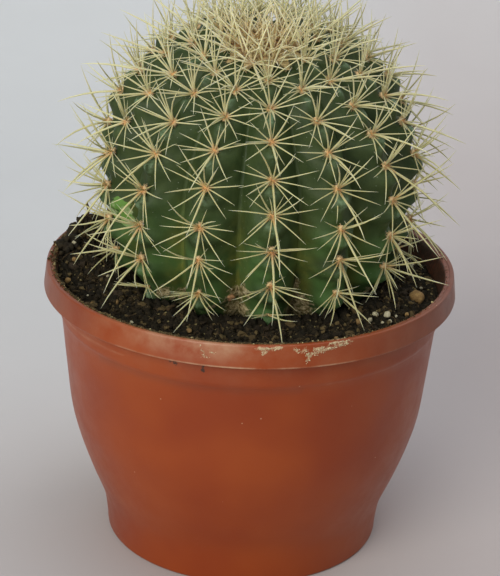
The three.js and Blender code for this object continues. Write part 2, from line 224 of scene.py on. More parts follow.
# Crown wool and its short young spines
WOOL_HEIGHT = 1.6
WOOL_IN_GROOVES = 0.9
WOOL_ON_CRESTS = 1.26
WOOL_SHORT_BEHIND = 0.25
WOOL_ROWS = 12
WOOL_SIDES = 112
YOUNG_SPINES = 56
YOUNG_SPINE_LENGTH = 7.5
YOUNG_SPINE_GROWTH = 4
YOUNG_SPINE_TILT = 0.7
YOUNG_SPINE_RADIUS = 0.33
YOUNG_SPINE_SWAY = 4.5
YOUNG_TUFTS = 26
GOLDEN_ANGLE = math.pi * (3 - math.sqrt(5))


# Small helpers

def draw(seed):
    """A repeatable draw between -1 and 1."""
    s = math.sin(seed * 12.9898) * 43758.5453
    return (s - math.floor(s)) * 2 - 1


def smoothstep(x, low, high):
    t = np.clip((x - low) / (high - low), 0, 1)
    return t * t * (3 - 2 * t)


def hill(x, width):
    """A bell that is 1 at zero, and falls off over a width."""
    return np.exp(-((x / width) ** 2))


def unit(vector):
    return vector / np.linalg.norm(vector)


def lumps(points, size, seed, waves=7):
    """Gentle unevenness between about -1 and 1, with swells of about that size."""
    chance = np.random.default_rng(seed)
    total = np.zeros(len(points))
    for _ in range(waves):
        way = unit(chance.normal(size=3)) * 2 * math.pi / size * chance.uniform(0.6, 1.5)
        total += np.sin(points @ way + chance.uniform(0, 2 * math.pi))
    return total / math.sqrt(waves)


def add(tree, kind, inputs=None, **settings):
    """A node with its settings, and its inputs filled or linked by name or number."""
    made = tree.nodes.new(kind)
    for key, value in settings.items():
        setattr(made, key, value)
    for key, value in (inputs or {}).items():
        if isinstance(value, bpy.types.NodeSocket):
            tree.links.new(value, made.inputs[key])
        else:
            made.inputs[key].default_value = value
    return made


def hex_colour(code):
    """A colour written as an sRGB hex value, in linear light."""
    parts = [int(code[i:i + 2], 16) / 255 for i in (1, 3, 5)]
    return [p / 12.92 if p <= 0.04045 else ((p + 0.055) / 1.055) ** 2.4 for p in parts] + [1]


def mesh_piece(name, points, faces=(), edges=(), **values):
    """An object at the origin from points in millimetres, with named values on its points."""
    mesh = bpy.data.meshes.new(name)
    mesh.from_pydata((np.asarray(points, float) * MM).tolist(), list(edges), list(faces))
    for key, value in values.items():
        value = np.asarray(value, np.float32)
        kind = "FLOAT_VECTOR" if value.ndim == 2 else "FLOAT"
        layer = mesh.attributes.new(key, kind, "POINT")
        layer.data.foreach_set("vector" if value.ndim == 2 else "value", value.ravel())
    piece = bpy.data.objects.new(name, mesh)
    bpy.context.scene.collection.objects.link(piece)
    return piece


def ring_faces(rows, around):
    """Faces that join rings from the lowest row up, and close both ends to a last point each."""
    faces = []
    bottom = rows * around
    top = bottom + 1
    for j in range(around):
        k = (j + 1) % around
        faces.append((bottom, k, j))
        faces.append((top, (rows - 1) * around + j, (rows - 1) * around + k))
        for i in range(rows - 1):
            faces.append((i * around + j, i * around + k, (i + 1) * around + k, (i + 1) * around + j))
    return faces


def apply_tree(piece, tree, **values):
    """Runs a geometry tree on a piece and keeps the result as its plain mesh."""
    modifier = piece.modifiers.new(tree.name, "NODES")
    modifier.node_group = tree
    for socket in tree.interface.items_tree:
        if socket.item_type == "SOCKET" and socket.in_out == "INPUT" and socket.name in values:
            modifier[socket.identifier] = values[socket.name]
    return baked(piece)


def baked(piece):
    """Keeps what a piece's modifiers make as its plain mesh."""
    depsgraph = bpy.context.evaluated_depsgraph_get()
    made = piece.evaluated_get(depsgraph)
    mesh = bpy.data.meshes.new_from_object(made, preserve_all_data_layers=True, depsgraph=depsgraph)
    piece.modifiers.clear()
    piece.data = mesh
    mesh.name = piece.name
    return piece


def dress(piece, material, node, smooth=True):
    """Gives a piece its material and smooth or flat faces, hangs it on the root, and hides the solid
    model's part of the node it stands for.
    """
    piece.data.materials.clear()
    piece.data.materials.append(material)
    piece.data.polygons.foreach_set("material_index", [0] * len(piece.data.polygons))
    piece.data.polygons.foreach_set("use_smooth", [smooth] * len(piece.data.polygons))
    piece.data.update()
    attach(piece, "root")
    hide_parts(node)
    return piece


# Node steps, each of which adds a node and gives back its result

def maths(tree, operation, *values, **settings):
    return add(tree, "ShaderNodeMath", dict(enumerate(values)), operation=operation, **settings).outputs[0]


def vectors(tree, operation, a, b):
    return add(tree, "ShaderNodeVectorMath", {0: a, 1: b}, operation=operation).outputs[0]


def scaled(tree, vector, factor):
    return add(tree, "ShaderNodeVectorMath", {0: vector, "Scale": factor}, operation="SCALE").outputs[0]


def between(tree, value, low, high, to_low=0.0, to_high=1.0):
    """A value stretched from one range to another, with its ends held."""
    return add(tree, "ShaderNodeMapRange", {
        "Value": value, "From Min": low, "From Max": high, "To Min": to_low, "To Max": to_high,
    }, clamp=True).outputs[0]


def own(tree, name, kind="FLOAT"):
    """What each point of the piece carries under that name."""
    return add(tree, "GeometryNodeInputNamedAttribute", {"Name": name}, data_type=kind).outputs[0]


def chance_between(tree, low, high, seed, kind="FLOAT"):
    """A draw for each point: a number, or a vector whose parts are drawn one by one."""
    first, result = (2, 1) if kind == "FLOAT" else (0, 0)
    inputs = {first: low, first + 1: high, "Seed": seed}
    return add(tree, "FunctionNodeRandomValue", inputs, data_type=kind).outputs[result]


def position(tree):
    return add(tree, "GeometryNodeInputPosition").outputs[0]


def ball(tree, detail):
    return add(tree, "GeometryNodeMeshIcoSphere", {"Radius": 1.0, "Subdivisions": detail}).outputs["Mesh"]


def spots_on(tree, surface, density, seed):
    return add(tree, "GeometryNodeDistributePointsOnFaces", {
        "Mesh": surface, "Density": density, "Seed": seed,
    }).outputs


def placed(tree, points, thing, rotation, scale):
    return add(tree, "GeometryNodeInstanceOnPoints", {
        "Points": points, "Instance": thing, "Rotation": rotation, "Scale": scale,
    }).outputs[0]


def marked(tree, geometry, name, value, domain):
    return add(tree, "GeometryNodeStoreNamedAttribute", {
        "Geometry": geometry, "Name": name, "Value": value,
    }, data_type="FLOAT", domain=domain).outputs[0]


def realized(tree, geometry):
    return add(tree, "GeometryNodeRealizeInstances", {"Geometry": geometry}).outputs[0]


def moved(tree, geometry, offset):
    return add(tree, "GeometryNodeSetPosition", {"Geometry": geometry, "Offset": offset}).outputs[0]


# Geometry trees

def new_tree(name, inputs):
    """An empty tree with named inputs, whose kinds follow from their values."""
    tree = bpy.data.node_groups.new(name, "GeometryNodeTree")
    tree.interface.new_socket("Geometry", in_out="INPUT", socket_type="NodeSocketGeometry")
    for label, value in inputs.items():
        kind = {int: "Int", float: "Float", tuple: "Vector"}[type(value)]
        socket = tree.interface.new_socket(label, in_out="INPUT", socket_type="NodeSocket" + kind)
        socket.default_value = value
    tree.interface.new_socket("Geometry", in_out="OUTPUT", socket_type="NodeSocketGeometry")
    return tree, add(tree, "NodeGroupInput").outputs


def end_tree(tree, geometry, material):
    dressed = add(tree, "GeometryNodeSetMaterial", {
        "Geometry": realized(tree, geometry), "Material": material,
    })
    add(tree, "NodeGroupOutput", {"Geometry": dressed.outputs[0]})
    return tree


def strand_tree(name, material):
    """Thickens chains of edges into round strands, as wide as their points' thickness."""
    tree, given = new_tree(name, {"Sides": 5})
    ring = add(tree, "GeometryNodeCurvePrimitiveCircle", {"Resolution": given["Sides"], "Radius": 1.0})
    chain = add(tree, "GeometryNodeMeshToCurve", {"Mesh": given["Geometry"]})
    strand = add(tree, "GeometryNodeCurveToMesh", {
        "Curve": chain.outputs[0], "Profile Curve": ring.outputs["Curve"],
        "Scale": own(tree, "thickness"), "Fill Caps": True,
    })
    return end_tree(tree, strand.outputs[0], material)


def hair_tree(name, material):
    """Short tapered hairs all over a surface, leaning a little every way."""
    tree, given = new_tree(name, {
        "Hairs per square metre": 1e6, "Length": 0.001, "Radius": 0.0001, "Lean": 0.5, "Seed": 1,
    })
    seed = given["Seed"]
    spots = spots_on(tree, given["Geometry"], given["Hairs per square metre"], seed)
    hair = add(tree, "GeometryNodeMeshCone", {
        "Vertices": 3, "Radius Bottom": given["Radius"], "Depth": given["Length"],
    }, fill_type="TRIANGLE_FAN")
    backwards = maths(tree, "MULTIPLY", given["Lean"], -1.0)
    turned = add(tree, "FunctionNodeRotateRotation", {
        "Rotation": spots["Rotation"],
        "Rotate By": chance_between(tree, backwards, given["Lean"], seed, "FLOAT_VECTOR"),
    }, rotation_space="LOCAL")
    size = chance_between(tree, 0.6, 1.2, seed)
    hairs = placed(tree, spots["Points"], hair.outputs["Mesh"], turned.outputs[0], size)
    both = add(tree, "GeometryNodeJoinGeometry")
    for part in (given["Geometry"], hairs):
        tree.links.new(part, both.inputs[0])
    return end_tree(tree, both.outputs[0], material)


def grain_tree(name, material, scattered):
    """Uneven grains: scattered over a surface by its density, or one on each given point."""
    tree, given = new_tree(name, {
        "Grains per square metre": 1e5, "Least size": 0.0005, "Largest size": 0.001,
        "Flatness": 0.7, "Roughness": 0.3, "Seed": 1, "Detail": 1,
    })
    seed = given["Seed"]
    if scattered:
        density = maths(tree, "MULTIPLY", given["Grains per square metre"], own(tree, "density"))
        points = spots_on(tree, given["Geometry"], density, seed)["Points"]
        mostly_small = maths(tree, "POWER", chance_between(tree, 0.0, 1.0, seed), 2.5)
        size = between(tree, mostly_small, 0.0, 1.0, given["Least size"], given["Largest size"])
    else:
        points, size = given["Geometry"], own(tree, "size")
    flattest = add(tree, "ShaderNodeCombineXYZ", {0: 0.6, 1: 0.6, 2: given["Flatness"]}).outputs[0]
    shape = chance_between(tree, flattest, (1.4, 1.4, 1.0), seed, "FLOAT_VECTOR")
    turn = chance_between(tree, (-0.6, -0.6, 0), (0.6, 0.6, 2 * math.pi), seed, "FLOAT_VECTOR")
    grains = placed(tree, points, ball(tree, given["Detail"]), turn, scaled(tree, shape, size))
    shaded = marked(tree, grains, "shade", chance_between(tree, 0.0, 1.0, seed), "INSTANCE")
    real = realized(tree, marked(tree, shaded, "grain_size", size, "INSTANCE"))
    own_size = own(tree, "grain_size")
    dents = add(tree, "ShaderNodeTexNoise", {
        "Vector": position(tree), "Scale": maths(tree, "DIVIDE", 0.8, own_size), "Detail": 1.0,
    })
    centred = vectors(tree, "SUBTRACT", dents.outputs["Color"], (0.5, 0.5, 0.5))
    strength = maths(tree, "MULTIPLY", maths(tree, "MULTIPLY", own_size, given["Roughness"]), 2.0)
    return end_tree(tree, moved(tree, real, scaled(tree, centred, strength)), material)


def rib_tree(name, material):
    """Folds a plain barrel into ribs by each point's turn, and raises the chins."""
    tree, given = new_tree(name, {
        "Groove depth share": 0.165, "Crest roundness": 0.08, "Chin height": 0.001,
    })
    roundness = given["Crest roundness"]
    squared = maths(tree, "POWER", own(tree, "turn"), 2.0)
    slant = maths(tree, "POWER", maths(tree, "ADD", squared, maths(tree, "POWER", roundness, 2.0)), 0.5)
    flank = maths(tree, "SUBTRACT", slant, roundness)
    hollow = maths(tree, "MULTIPLY", squared, HOLLOW_SHARE)
    fold = maths(tree, "MULTIPLY_ADD", flank, FLANK_SHARE, hollow)
    drop = maths(tree, "MULTIPLY", fold, given["Groove depth share"])
    from_axis = vectors(tree, "MULTIPLY", position(tree), (1, 1, 0))
    folded = scaled(tree, from_axis, maths(tree, "MULTIPLY", drop, -1.0))
    rise = maths(tree, "MULTIPLY", own(tree, "chin"), given["Chin height"])
    raised = scaled(tree, add(tree, "GeometryNodeInputNormal").outputs[0], rise)
    ribbed = moved(tree, given["Geometry"], vectors(tree, "ADD", folded, raised))
    return end_tree(tree, ribbed, material)


def pad_tree(name, material):
    """A low dome on each point, facing its out direction and longer along the rib."""
    tree, given = new_tree(name, {"Size": (0.0016, 0.0013, 0.001)})
    out, up = (own(tree, way, "FLOAT_VECTOR") for way in ("out", "crownward"))
    facing = add(tree, "FunctionNodeAlignRotationToVector", {"Vector": out}, axis="Z").outputs[0]
    turned = add(tree, "FunctionNodeAlignRotationToVector", {
        "Rotation": facing, "Vector": up,
    }, axis="X", pivot_axis="Z").outputs[0]
    height = add(tree, "ShaderNodeSeparateXYZ", {0: position(tree)}).outputs[2]
    dome = marked(tree, ball(tree, 3), "centre", height, "POINT")
    size = scaled(tree, given["Size"], own(tree, "own_size"))
    return end_tree(tree, placed(tree, given["Geometry"], dome, turned, size), material)


# Materials

class Finish:
    """A material in the making: each call adds the nodes of one step and gives its result."""

    def __init__(self, name, **constants):
        self.material = bpy.data.materials.new(name)
        self.material.use_nodes = True
        self.tree = self.material.node_tree
        self.shader = self.tree.nodes["Principled BSDF"]
        self.place = add(self.tree, "ShaderNodeTexCoord").outputs["Object"]
        for key, value in constants.items():
            self.shader.inputs[key.replace("_", " ")].default_value = value

    def noise(self, size, detail=3.0, roughness=0.5):
        """Noise with features of about that size in millimetres."""
        return add(self.tree, "ShaderNodeTexNoise", {
            "Vector": self.place, "Scale": 1 / (size * MM), "Detail": detail, "Roughness": roughness,
        }).outputs["Fac"]

    def between(self, value, *ranges):
        return between(self.tree, value, *ranges)

    def patches(self, size, detail, roughness, *ranges):
        """Noise of that size in patches, stretched from one range to another."""
        return self.between(self.noise(size, detail, roughness), *ranges)

    def own(self, name):
        """What the piece's points carry under that name."""
        return add(self.tree, "ShaderNodeAttribute", attribute_name=name).outputs["Fac"]

    def ragged(self, name, size, detail, roughness, low, high):
        """Where the piece's own value is high, with an edge that noise frays."""
        frayed = maths(self.tree, "ADD", self.noise(size, detail, roughness), self.own(name))
        return self.between(frayed, low, high)

    def flecks(self, spacing, least, most, rare, rarest):
        """Small round dots, in a few of the cells that a spacing in millimetres gives."""
        cells = add(self.tree, "ShaderNodeTexVoronoi", {
            "Vector": self.place, "Scale": 1 / (spacing * MM), "Randomness": 1.0,
        }).outputs
        dot = self.between(cells["Distance"], least, most, 1.0, 0.0)
        return self.times(dot, self.between(cells["Color"], rare, rarest))

    def times(self, first, *others):
        for other in others:
            first = maths(self.tree, "MULTIPLY", first, other)
        return first

    def raised(self, value, share, amount):
        """A value with an amount added where a share is full."""
        return maths(self.tree, "MULTIPLY_ADD", share, amount, value)

    def mixed(self, share, a, b, **settings):
        """Two colours mixed, each a result or a hex value."""
        a, b = (hex_colour(one) if isinstance(one, str) else one for one in (a, b))
        inputs = {0: share, 6: a, 7: b}
        return add(self.tree, "ShaderNodeMix", inputs, data_type="RGBA", **settings).outputs[2]

    def done(self, colour, relief, relief_mm, roughness=None):
        bump = add(self.tree, "ShaderNodeBump", {
            "Height": relief, "Strength": 1.0, "Distance": relief_mm * MM,
        })
        self.tree.links.new(colour, self.shader.inputs["Base Color"])
        self.tree.links.new(bump.outputs[0], self.shader.inputs["Normal"])
        if roughness:
            self.tree.links.new(roughness, self.shader.inputs["Roughness"])
        return self.material


def pot_material():
    """Injection-moulded polypropylene, dyed terracotta: a satin skin that greys at grazing
    angles, with faint flow clouds, dusting under the rim with a painted sheen at the collar's front
    left, painted highlights on the collar's lower edge and the neck step's right edge, painted shade
    on the collar's sides, in the neck's step and inside the pot, and dried lime where water ran over."""
    look = Finish("moulded_terracotta_polypropylene", IOR=1.49)
    plastic = look.mixed(look.patches(34, 2, 0.5, 0.35, 0.65), "#8e3705", "#9a420a")
    # Pale dusting, with a painted sheen on the collar's front left and painted highlights on the collar's
    # lower edge and the neck step's edge
    dust_and_painted_sheen = look.times(look.patches(11, 4, 0.6, 0.32, 0.72), look.own("dust_and_painted_sheen"))
    dusty_and_sheened = look.mixed(dust_and_painted_sheen, plastic, "#bd9878")
    # Painted shade on the collar's sides, in the neck's step and over the whole inside of the pot
    painted_shade = look.times(look.patches(9, 3, 0.6, 0.25, 0.75, 0.5, 0.85), look.own("painted_shade"))
    with_painted_shade = look.mixed(painted_shade, dusty_and_sheened, "#4d3a31")
    flecks = look.times(look.flecks(5.5, 0.035, 0.055, 0.72, 0.74), 0.5)
    flecked = look.mixed(flecks, with_painted_shade, "#d9b79c")
    lime = look.ragged("lime", 2.1, 3, 0.6, 1.0, 1.2)
    limed = look.mixed(look.times(lime, 0.72), flecked, "#dccba3")
    # Soil on the ledge and specks of dirt, and painted shade as a dark film inside the pot
    dirt = look.ragged("soil_and_painted_shade", 1.1, 4, 0.7, 1.02, 1.16)
    colour = look.mixed(look.times(dirt, 0.9), limed, "#32271c")
    chalky = look.raised(look.patches(7, 4, 0.6, 0.3, 0.7, 0.34, 0.46), lime, 0.4)
    return look.done(colour, look.raised(look.noise(0.9, 2), lime, 3.0), 0.03, chalky)


def skin_material():
    """Living cactus skin: dark waxy green, brighter near the soil, partly as painted light, yellower
    in the grooves near the soil, pale and bluish on the chins as a waxy coating and partly a painted
    highlight, with corky scars at the base, a healed patch and fine white dots."""
    look = Finish("waxy_cactus_skin", IOR=1.38)
    low = look.own("low")
    green = look.mixed(look.patches(7, 4, 0.6, 0.3, 0.7), "#2d3f1e", "#42522b")
    # Brighter green near the soil: partly the skin's fresher colour there, partly painted light
    fresh_and_painted_light = look.times(low, look.patches(14, 2, 0.5, 0.35, 0.65), 0.8)
    brighter = look.mixed(fresh_and_painted_light, green, "#527840")
    yellow_run = look.times(low, look.own("groove"), look.patches(6, 3, 0.5, 0.3, 0.6), 0.75)
    yellowed = look.mixed(yellow_run, brighter, "#7a7c35")
    # Pale bluish patches on the chins: a waxy coating, partly a painted highlight
    bloom_and_highlight = look.times(look.own("bloom_and_highlight"), look.patches(2.2, 4, 0.6, 0.38, 0.62), 0.52)
    bloomed_and_highlit = look.mixed(bloom_and_highlight, yellowed, "#82a07c")
    dots = look.times(look.flecks(1.9, 0.07, 0.12, 0.6, 0.62), 0.45)
    dotted = look.mixed(dots, bloomed_and_highlit, "#a9b6a0")
    scar = look.times(look.ragged("scar", 3.5, 3, 0.6, 1.0, 1.06), 0.92)
    healed = look.mixed(look.patches(4, 3, 0.5, 0.45, 0.58), "#6d9c46", "#b9c998")
    cork = look.ragged("cork", 2.6, 5, 0.7, 0.98, 1.14)
    bark = look.mixed(look.patches(1.7, 4, 0.7, 0.42, 0.62), "#71643a", "#ddcda1")
    colour = look.mixed(cork, look.mixed(scar, dotted, healed), bark)
    dull = look.raised(look.patches(4, 4, 0.6, 0.3, 0.7, 0.5, 0.64), cork, 0.4)
    rough_cork = look.times(cork, look.noise(1.0, 4, 0.7))
    return look.done(colour, look.raised(look.noise(0.8, 3), rough_cork, 6.0), 0.08, dull)


def spine_material(name, root, shaft, tip, dark, most):
    """Dry spine: hard and slightly shiny, brown where it leaves the felt, straw-coloured along
    its length and paler at the point, and paler high on the plant, partly as painted light from above.
    Light glows through it, so that its shaded side stays pale."""
    glow = {"Subsurface_Weight": 0.5, "Subsurface_Scale": 0.5 * MM, "Subsurface_Radius": (1.0, 0.85, 0.5)}
    look = Finish(name, IOR=1.5, **glow)
    streak = look.patches(2.5, 3, 0.5, 0.3, 0.7, -0.06, 0.06)
    along = maths(look.tree, "ADD", look.own("along"), streak)
    based = look.mixed(look.between(along, 0.04, 0.22), root, shaft)
    pointed = look.mixed(look.between(along, 0.55, 1.0), based, tip)
    # Paler towards the top of the plant: partly younger spines, partly painted light from above
    height = add(look.tree, "ShaderNodeSeparateXYZ", {0: look.place}).outputs[2]
    paler = look.mixed(look.between(height, 0.15, 0.2, 0.0, 0.5), pointed, "#ebeacd")
    darker = look.mixed(look.between(look.own("chance"), 0.0, 1.0, 0.0, most), paler, dark)
    rough = look.patches(0.7, 2, 0.5, 0.3, 0.7, 0.38, 0.55)
    return look.done(darker, look.noise(0.4, 1), 0.02, rough)


def felt_material(name, edge, middle):
    """Plant felt: matt, fuzzy tan wool, red-brown in the middle where spines come out."""
    look = Finish(name, Roughness=0.95, IOR=1.5, Sheen_Weight=0.25)
    centre = look.between(look.own("centre"), 0.35, 0.95)
    tufts = look.patches(0.8, 3, 0.5, 0.3, 0.7, -0.25, 0.25)
    share = maths(look.tree, "ADD", centre, tufts, use_clamp=True)
    return look.done(look.mixed(share, edge, middle), look.noise(0.35, 2), 0.12)


def soil_material(name, dark, light, brown, bark):
    """Peat mix: near-black crumbs with brown ones and a few pale bark bits, dull all over."""
    look = Finish(name, Roughness=0.95, IOR=1.35)
    shade = look.own("shade")
    peat = look.mixed(look.patches(1.3, 5, 0.7, 0.35, 0.7), dark, light)
    patch = look.patches(8, 2, 0.5, 0.42, 0.6, 0.25, 1.0)
    browner = look.mixed(look.times(patch, look.between(shade, 0.6, 0.95)), peat, brown)
    barky = look.mixed(look.between(shade, 0.955, 0.96), browner, bark)
    return look.done(barky, look.noise(0.8, 4, 0.7), 0.3)


def stone_material(name, dark, light, grain_mm):
    """A mineral grain: matt, with a fine mottled crust."""
    look = Finish(name, Roughness=0.85, IOR=1.5)
    mottled = look.mixed(look.patches(grain_mm, 4, 0.65, 0.32, 0.68), dark, light)
    dirt = look.between(look.own("shade"), 0.0, 1.0, 0.0, 0.35)
    return look.done(look.mixed(dirt, mottled, "#4a3d2a"), look.noise(grain_mm / 2, 3), 0.1)


def backdrop_material():
    """Pale grey paper sweep, cooler far back, with painted shade that darkens it and tints it a little
    mauve towards the front, and a painted shadow of the pot and plant on the right.
    """
    look = Finish("pale_grey_sweep", Roughness=0.9, IOR=1.45)
    across, depth, _ = add(look.tree, "ShaderNodeSeparateXYZ", {0: look.place}).outputs
    # Darker and a little mauve in front, lighter far back: painted shade
    near = look.mixed(look.between(depth, -0.1, 0.3), "#c0bab8", "#d6d6d5")
    far = look.mixed(look.between(depth, 0.3, 0.8), near, "#e3e5e5")
    paper = look.mixed(look.patches(60, 3, 0.5, 0.3, 0.7, 0.0, 0.08), far, "#b4b2b4")
    # A painted shadow of the pot and plant on the floor to the right
    right = look.times(
        look.between(across, -0.06, 0.11),
        look.between(depth, 0.4, 0.75, 1.0, 0.4),
        look.between(depth, 0.0, 0.15, 0.6, 1.0),
    )
    side = look.mixed(right, "#fafdff", "#ede5e4")
    return look.done(look.mixed(1.0, paper, side, blend_type="MULTIPLY"), look.noise(1.5, 2), 0.02)


# Forms shared by the pieces

def soil_height(x, y):
    """Level round the plant, lower at the pot's wall, heaped at the left back, with lumps."""
    from_axis = np.hypot(x, y)
    dip = smoothstep(from_axis, SOIL_DIP_START, RIM_INNER_RADIUS)
    turn = np.arctan2(y, x) - HEAP_ANGLE
    off_heap = np.arctan2(np.sin(turn), np.cos(turn))
    heap = np.exp(-((off_heap / HEAP_SPREAD) ** 2) - ((from_axis - HEAP_RADIUS) / HEAP_DEPTH) ** 2)
    wave = 2 * math.pi / LUMP_LENGTH
    bumps = np.sin(x * wave * 0.7 + 2 * np.sin(y * wave * 0.3)) * np.cos(y * wave * 0.6 + x)
    return SOIL_LEVEL - SOIL_DIP * dip + HEAP_HEIGHT * heap + LUMP_HEIGHT * bumps


def to_pot(points):
    """From the barrel's own frame to the pot's."""
    x, y, z = np.asarray(points, float).T
    c, s = math.cos(LEAN), math.sin(LEAN)
    return np.stack([x, y * c - z * s, y * s + z * c], -1) + BARREL_CENTRE


def to_barrel(points):
    x, y, z = (np.asarray(points, float) - BARREL_CENTRE).T
    c, s = math.cos(LEAN), math.sin(LEAN)
    return np.stack([x, y * c + z * s, -y * s + z * c], -1)


def on_ring(radius, angle, height):
    """A point or direction at an angle from the front, round the pot's or barrel's axis."""
    return np.array([radius * math.sin(angle), -radius * math.cos(angle), height])


def rings_of(outline, angles):
    """The points of an outline turned round the axis, ring by ring."""
    return np.concatenate([
        np.stack([r * np.sin(angles), -r * np.cos(angles), np.full(len(angles), z)], -1)
        for r, z in outline
    ])


def outline_point(t):
    """The barrel's outline from the crown down: distance from its axis, and height."""
    angle = t / DOME_SHARE * math.pi / 2
    height = (t - DOME_SHARE) / (1 - DOME_SHARE) * BARREL_BOTTOM
    dome = t < DOME_SHARE
    radius = np.where(dome, CREST_RADIUS * np.sin(angle), crest_radius_below(height))
    return np.stack([radius, np.where(dome, CROWN_HEIGHT * np.cos(angle), height)], -1)


def crest_radius_below(height):
    return CREST_RADIUS * (1 - TAPER_LOSS * np.abs(height / TAPER_DEPTH) ** TAPER_POWER)


OUTLINE_T = np.arange(201) / 200
OUTLINE_STEPS = np.linalg.norm(np.diff(outline_point(OUTLINE_T), axis=0), axis=1)
OUTLINE_ARCS = np.concatenate([[0], np.cumsum(OUTLINE_STEPS)])
OUTLINE_LENGTH = OUTLINE_ARCS[-1]


def outline_at(arc):
    return outline_point(np.interp(arc, OUTLINE_ARCS, OUTLINE_T))


def outline_tangent(arc):
    t = np.interp(arc, OUTLINE_ARCS, OUTLINE_T)
    return unit(outline_point(min(t + 1e-4, 1.0)) - outline_point(t - 1e-4))


CROWN_EDGE = CREST_RADIUS * math.asin(CROWN_FLAT_RADIUS / CREST_RADIUS)
CROWN_RING = outline_at(CROWN_EDGE)
WOOL_RADIUS = CROWN_RING[0] - 1
WOOL_BOTTOM = CROWN_RING[1] + 0.3
PLANT_FOOT_Y = BARREL_CENTRE[1] + (BARREL_CENTRE[2] - SOIL_LEVEL) * math.tan(LEAN)
SKYWARD = np.array([0, math.sin(LEAN), math.cos(LEAN)])


def felt_pads():
    """Each pad's place on its rib, and the directions out, crownward and sideways."""
    pads = []
    for k in range(RIBS):
        angle = FIRST_RIB_ANGLE + (LEFTMOST_RIB + k) * 2 * math.pi / RIBS
        for n in range(-1, PADS_ON_RIB):
            step = n + RIB_PHASE[k] + 0.06 * draw(k * 31 + n)
            arc = FIRST_PAD_ARC + PAD_PITCH * step + PAD_PITCH_GROWTH * step * step
            if arc < LEAST_PAD_ARC or arc > OUTLINE_LENGTH - PADS_END_ABOVE:
                continue
            radius, height = outline_at(arc)
            along = outline_tangent(arc)
            place = on_ring(radius, angle, height)
            x, y, z = to_pot(place)
            above = z - soil_height(x, y)
            if above < LOWEST_PAD:
                continue
            pads.append({
                "rib": k,
                "place": place,
                "arc": arc,
                "reach": LOW_PAD_REACH + (1 - LOW_PAD_REACH) * smoothstep(above, 5, 14),
                "seed": k * 100 + n * 7 + 1,
                "out": on_ring(-along[1], angle, along[0]),
                "crownward": on_ring(-along[0], angle, -along[1]),
                "side": np.array([math.cos(angle), math.sin(angle), 0.0]),
            })
    return pads


PADS = felt_pads()


# Spines

def clear_of_ground(root, way, length):
    points = to_pot(root + np.outer([0.4, 0.7, 1.0], way) * length)
    for x, y, z in points:
        from_axis = math.hypot(x, y)
        if from_axis < RIM_INNER_RADIUS - 1:
            ground = soil_height(x, y) + SOIL_CLEARANCE
        else:
            ground = POT_HEIGHT + 1 if from_axis < COLLAR_RADIUS + 1 else -math.inf
        if z <= ground:
            return False
    return True


class Thicket:
    """The spines placed so far, so that the next one can keep clear of them."""

    def __init__(self):
        self.starts, self.ends, self.pads, self.ways = [], [], [], []

    def put(self, pad, start, end):
        self.starts.append(start)
        self.ends.append(end)
        self.pads.append(pad)
        self.ways.append(unit(end - start))

    def crowded(self, pad, way, spread):
        return any(p == pad and w @ way > spread for p, w in zip(self.pads, self.ways))

    def meets(self, pad, start, end, radius):
        starts = np.array(self.starts)
        apart = np.linalg.norm(starts - start, axis=1) <= SPINE_REACH
        others = apart & (np.array(self.pads) != pad)
        if not others.any():
            return False
        a = starts[others]
        span = np.array(self.ends)[others] - a
        here = start + SPINE_STEPS[:, None] * (end - start)
        offset = here[:, None, :] - a[None]
        near = np.clip((offset * span).sum(-1) / (span * span).sum(-1), 0, 1)
        gap = np.linalg.norm(offset - near[..., None] * span, axis=-1)
        thickness = radius * (2 - SPINE_STEPS[:, None] - near)
        return bool((gap < thickness + SPINE_GAP).any())


def spine_end(pad, plan, seed, nudge):
    """Spines near the crown stand up more, low ones hang down more, and one that would dig
    into the soil is bent up until it is clear of it."""
    plan_turn, plan_rise, plan_length = plan[:3]
    upright = CROWN_LIFT * max(0, 1 - pad["arc"] / CROWN_LIFT_END)
    hanging = LOW_HANG * smoothstep(pad["arc"], LOW_HANG_START, LOW_HANG_FULL)
    planned = plan_turn + 6 * draw(seed) + nudge
    turn = math.radians(planned + math.copysign(1, planned) * (180 - abs(planned)) * hanging)
    rise = math.radians(plan_rise + upright + 4 * draw(seed + 0.37))
    length = plan_length * pad["reach"] * (1 + 0.13 * draw(seed + 0.71))
    if plan_rise > CENTRAL_RISE:
        length *= 1 + WAIST_REACH * math.exp(-(((pad["arc"] - WAIST_ARC) / WAIST_SPREAD) ** 2))
    way = (
        pad["crownward"] * math.cos(rise) * math.cos(turn)
        + pad["side"] * math.cos(rise) * math.sin(turn)
        + pad["out"] * math.sin(rise)
    )
    for _ in range(12):
        if clear_of_ground(pad["place"], way, length):
            break
        way = unit(way + SKYWARD * 0.12)
    return pad["place"] + way * length


def place_spine(thicket, number, pad, plan, seed, spread, radius):
    for nudge in NUDGES:
        end = spine_end(pad, plan, seed, nudge)
        length = np.linalg.norm(end - pad["place"])
        way = unit(end - pad["place"])
        if thicket.crowded(number, way, spread) or way @ pad["out"] <= LEAST_RISE:
            continue
        if not clear_of_ground(pad["place"], way, length):
            continue
        if not thicket.meets(number, pad["place"], end, radius):
            thicket.put(number, pad["place"], end)
            return pad["place"], end
    return None


def young_spine_lines():
    """The axis of each short young spine of the crown, in a spiral over the wool."""
    lines = []
    for i in range(YOUNG_SPINES):
        share = math.sqrt((i + 0.5) / YOUNG_SPINES)
        depth = (WOOL_HEIGHT - 1) * math.sqrt(1 - 0.95 * share * share)
        angle = i * GOLDEN_ANGLE
        tilt = YOUNG_SPINE_TILT * share + 0.12 * draw(i + 5)
        root = on_ring(0.93 * WOOL_RADIUS * share, angle, WOOL_BOTTOM + depth)
        way = on_ring(math.sin(tilt), angle + 0.3 * draw(i + 9), math.cos(tilt))
        length = (YOUNG_SPINE_LENGTH + YOUNG_SPINE_GROWTH * share) * (1 + 0.2 * draw(i + 3))
        lines.append((root, root + way * length))
    return lines


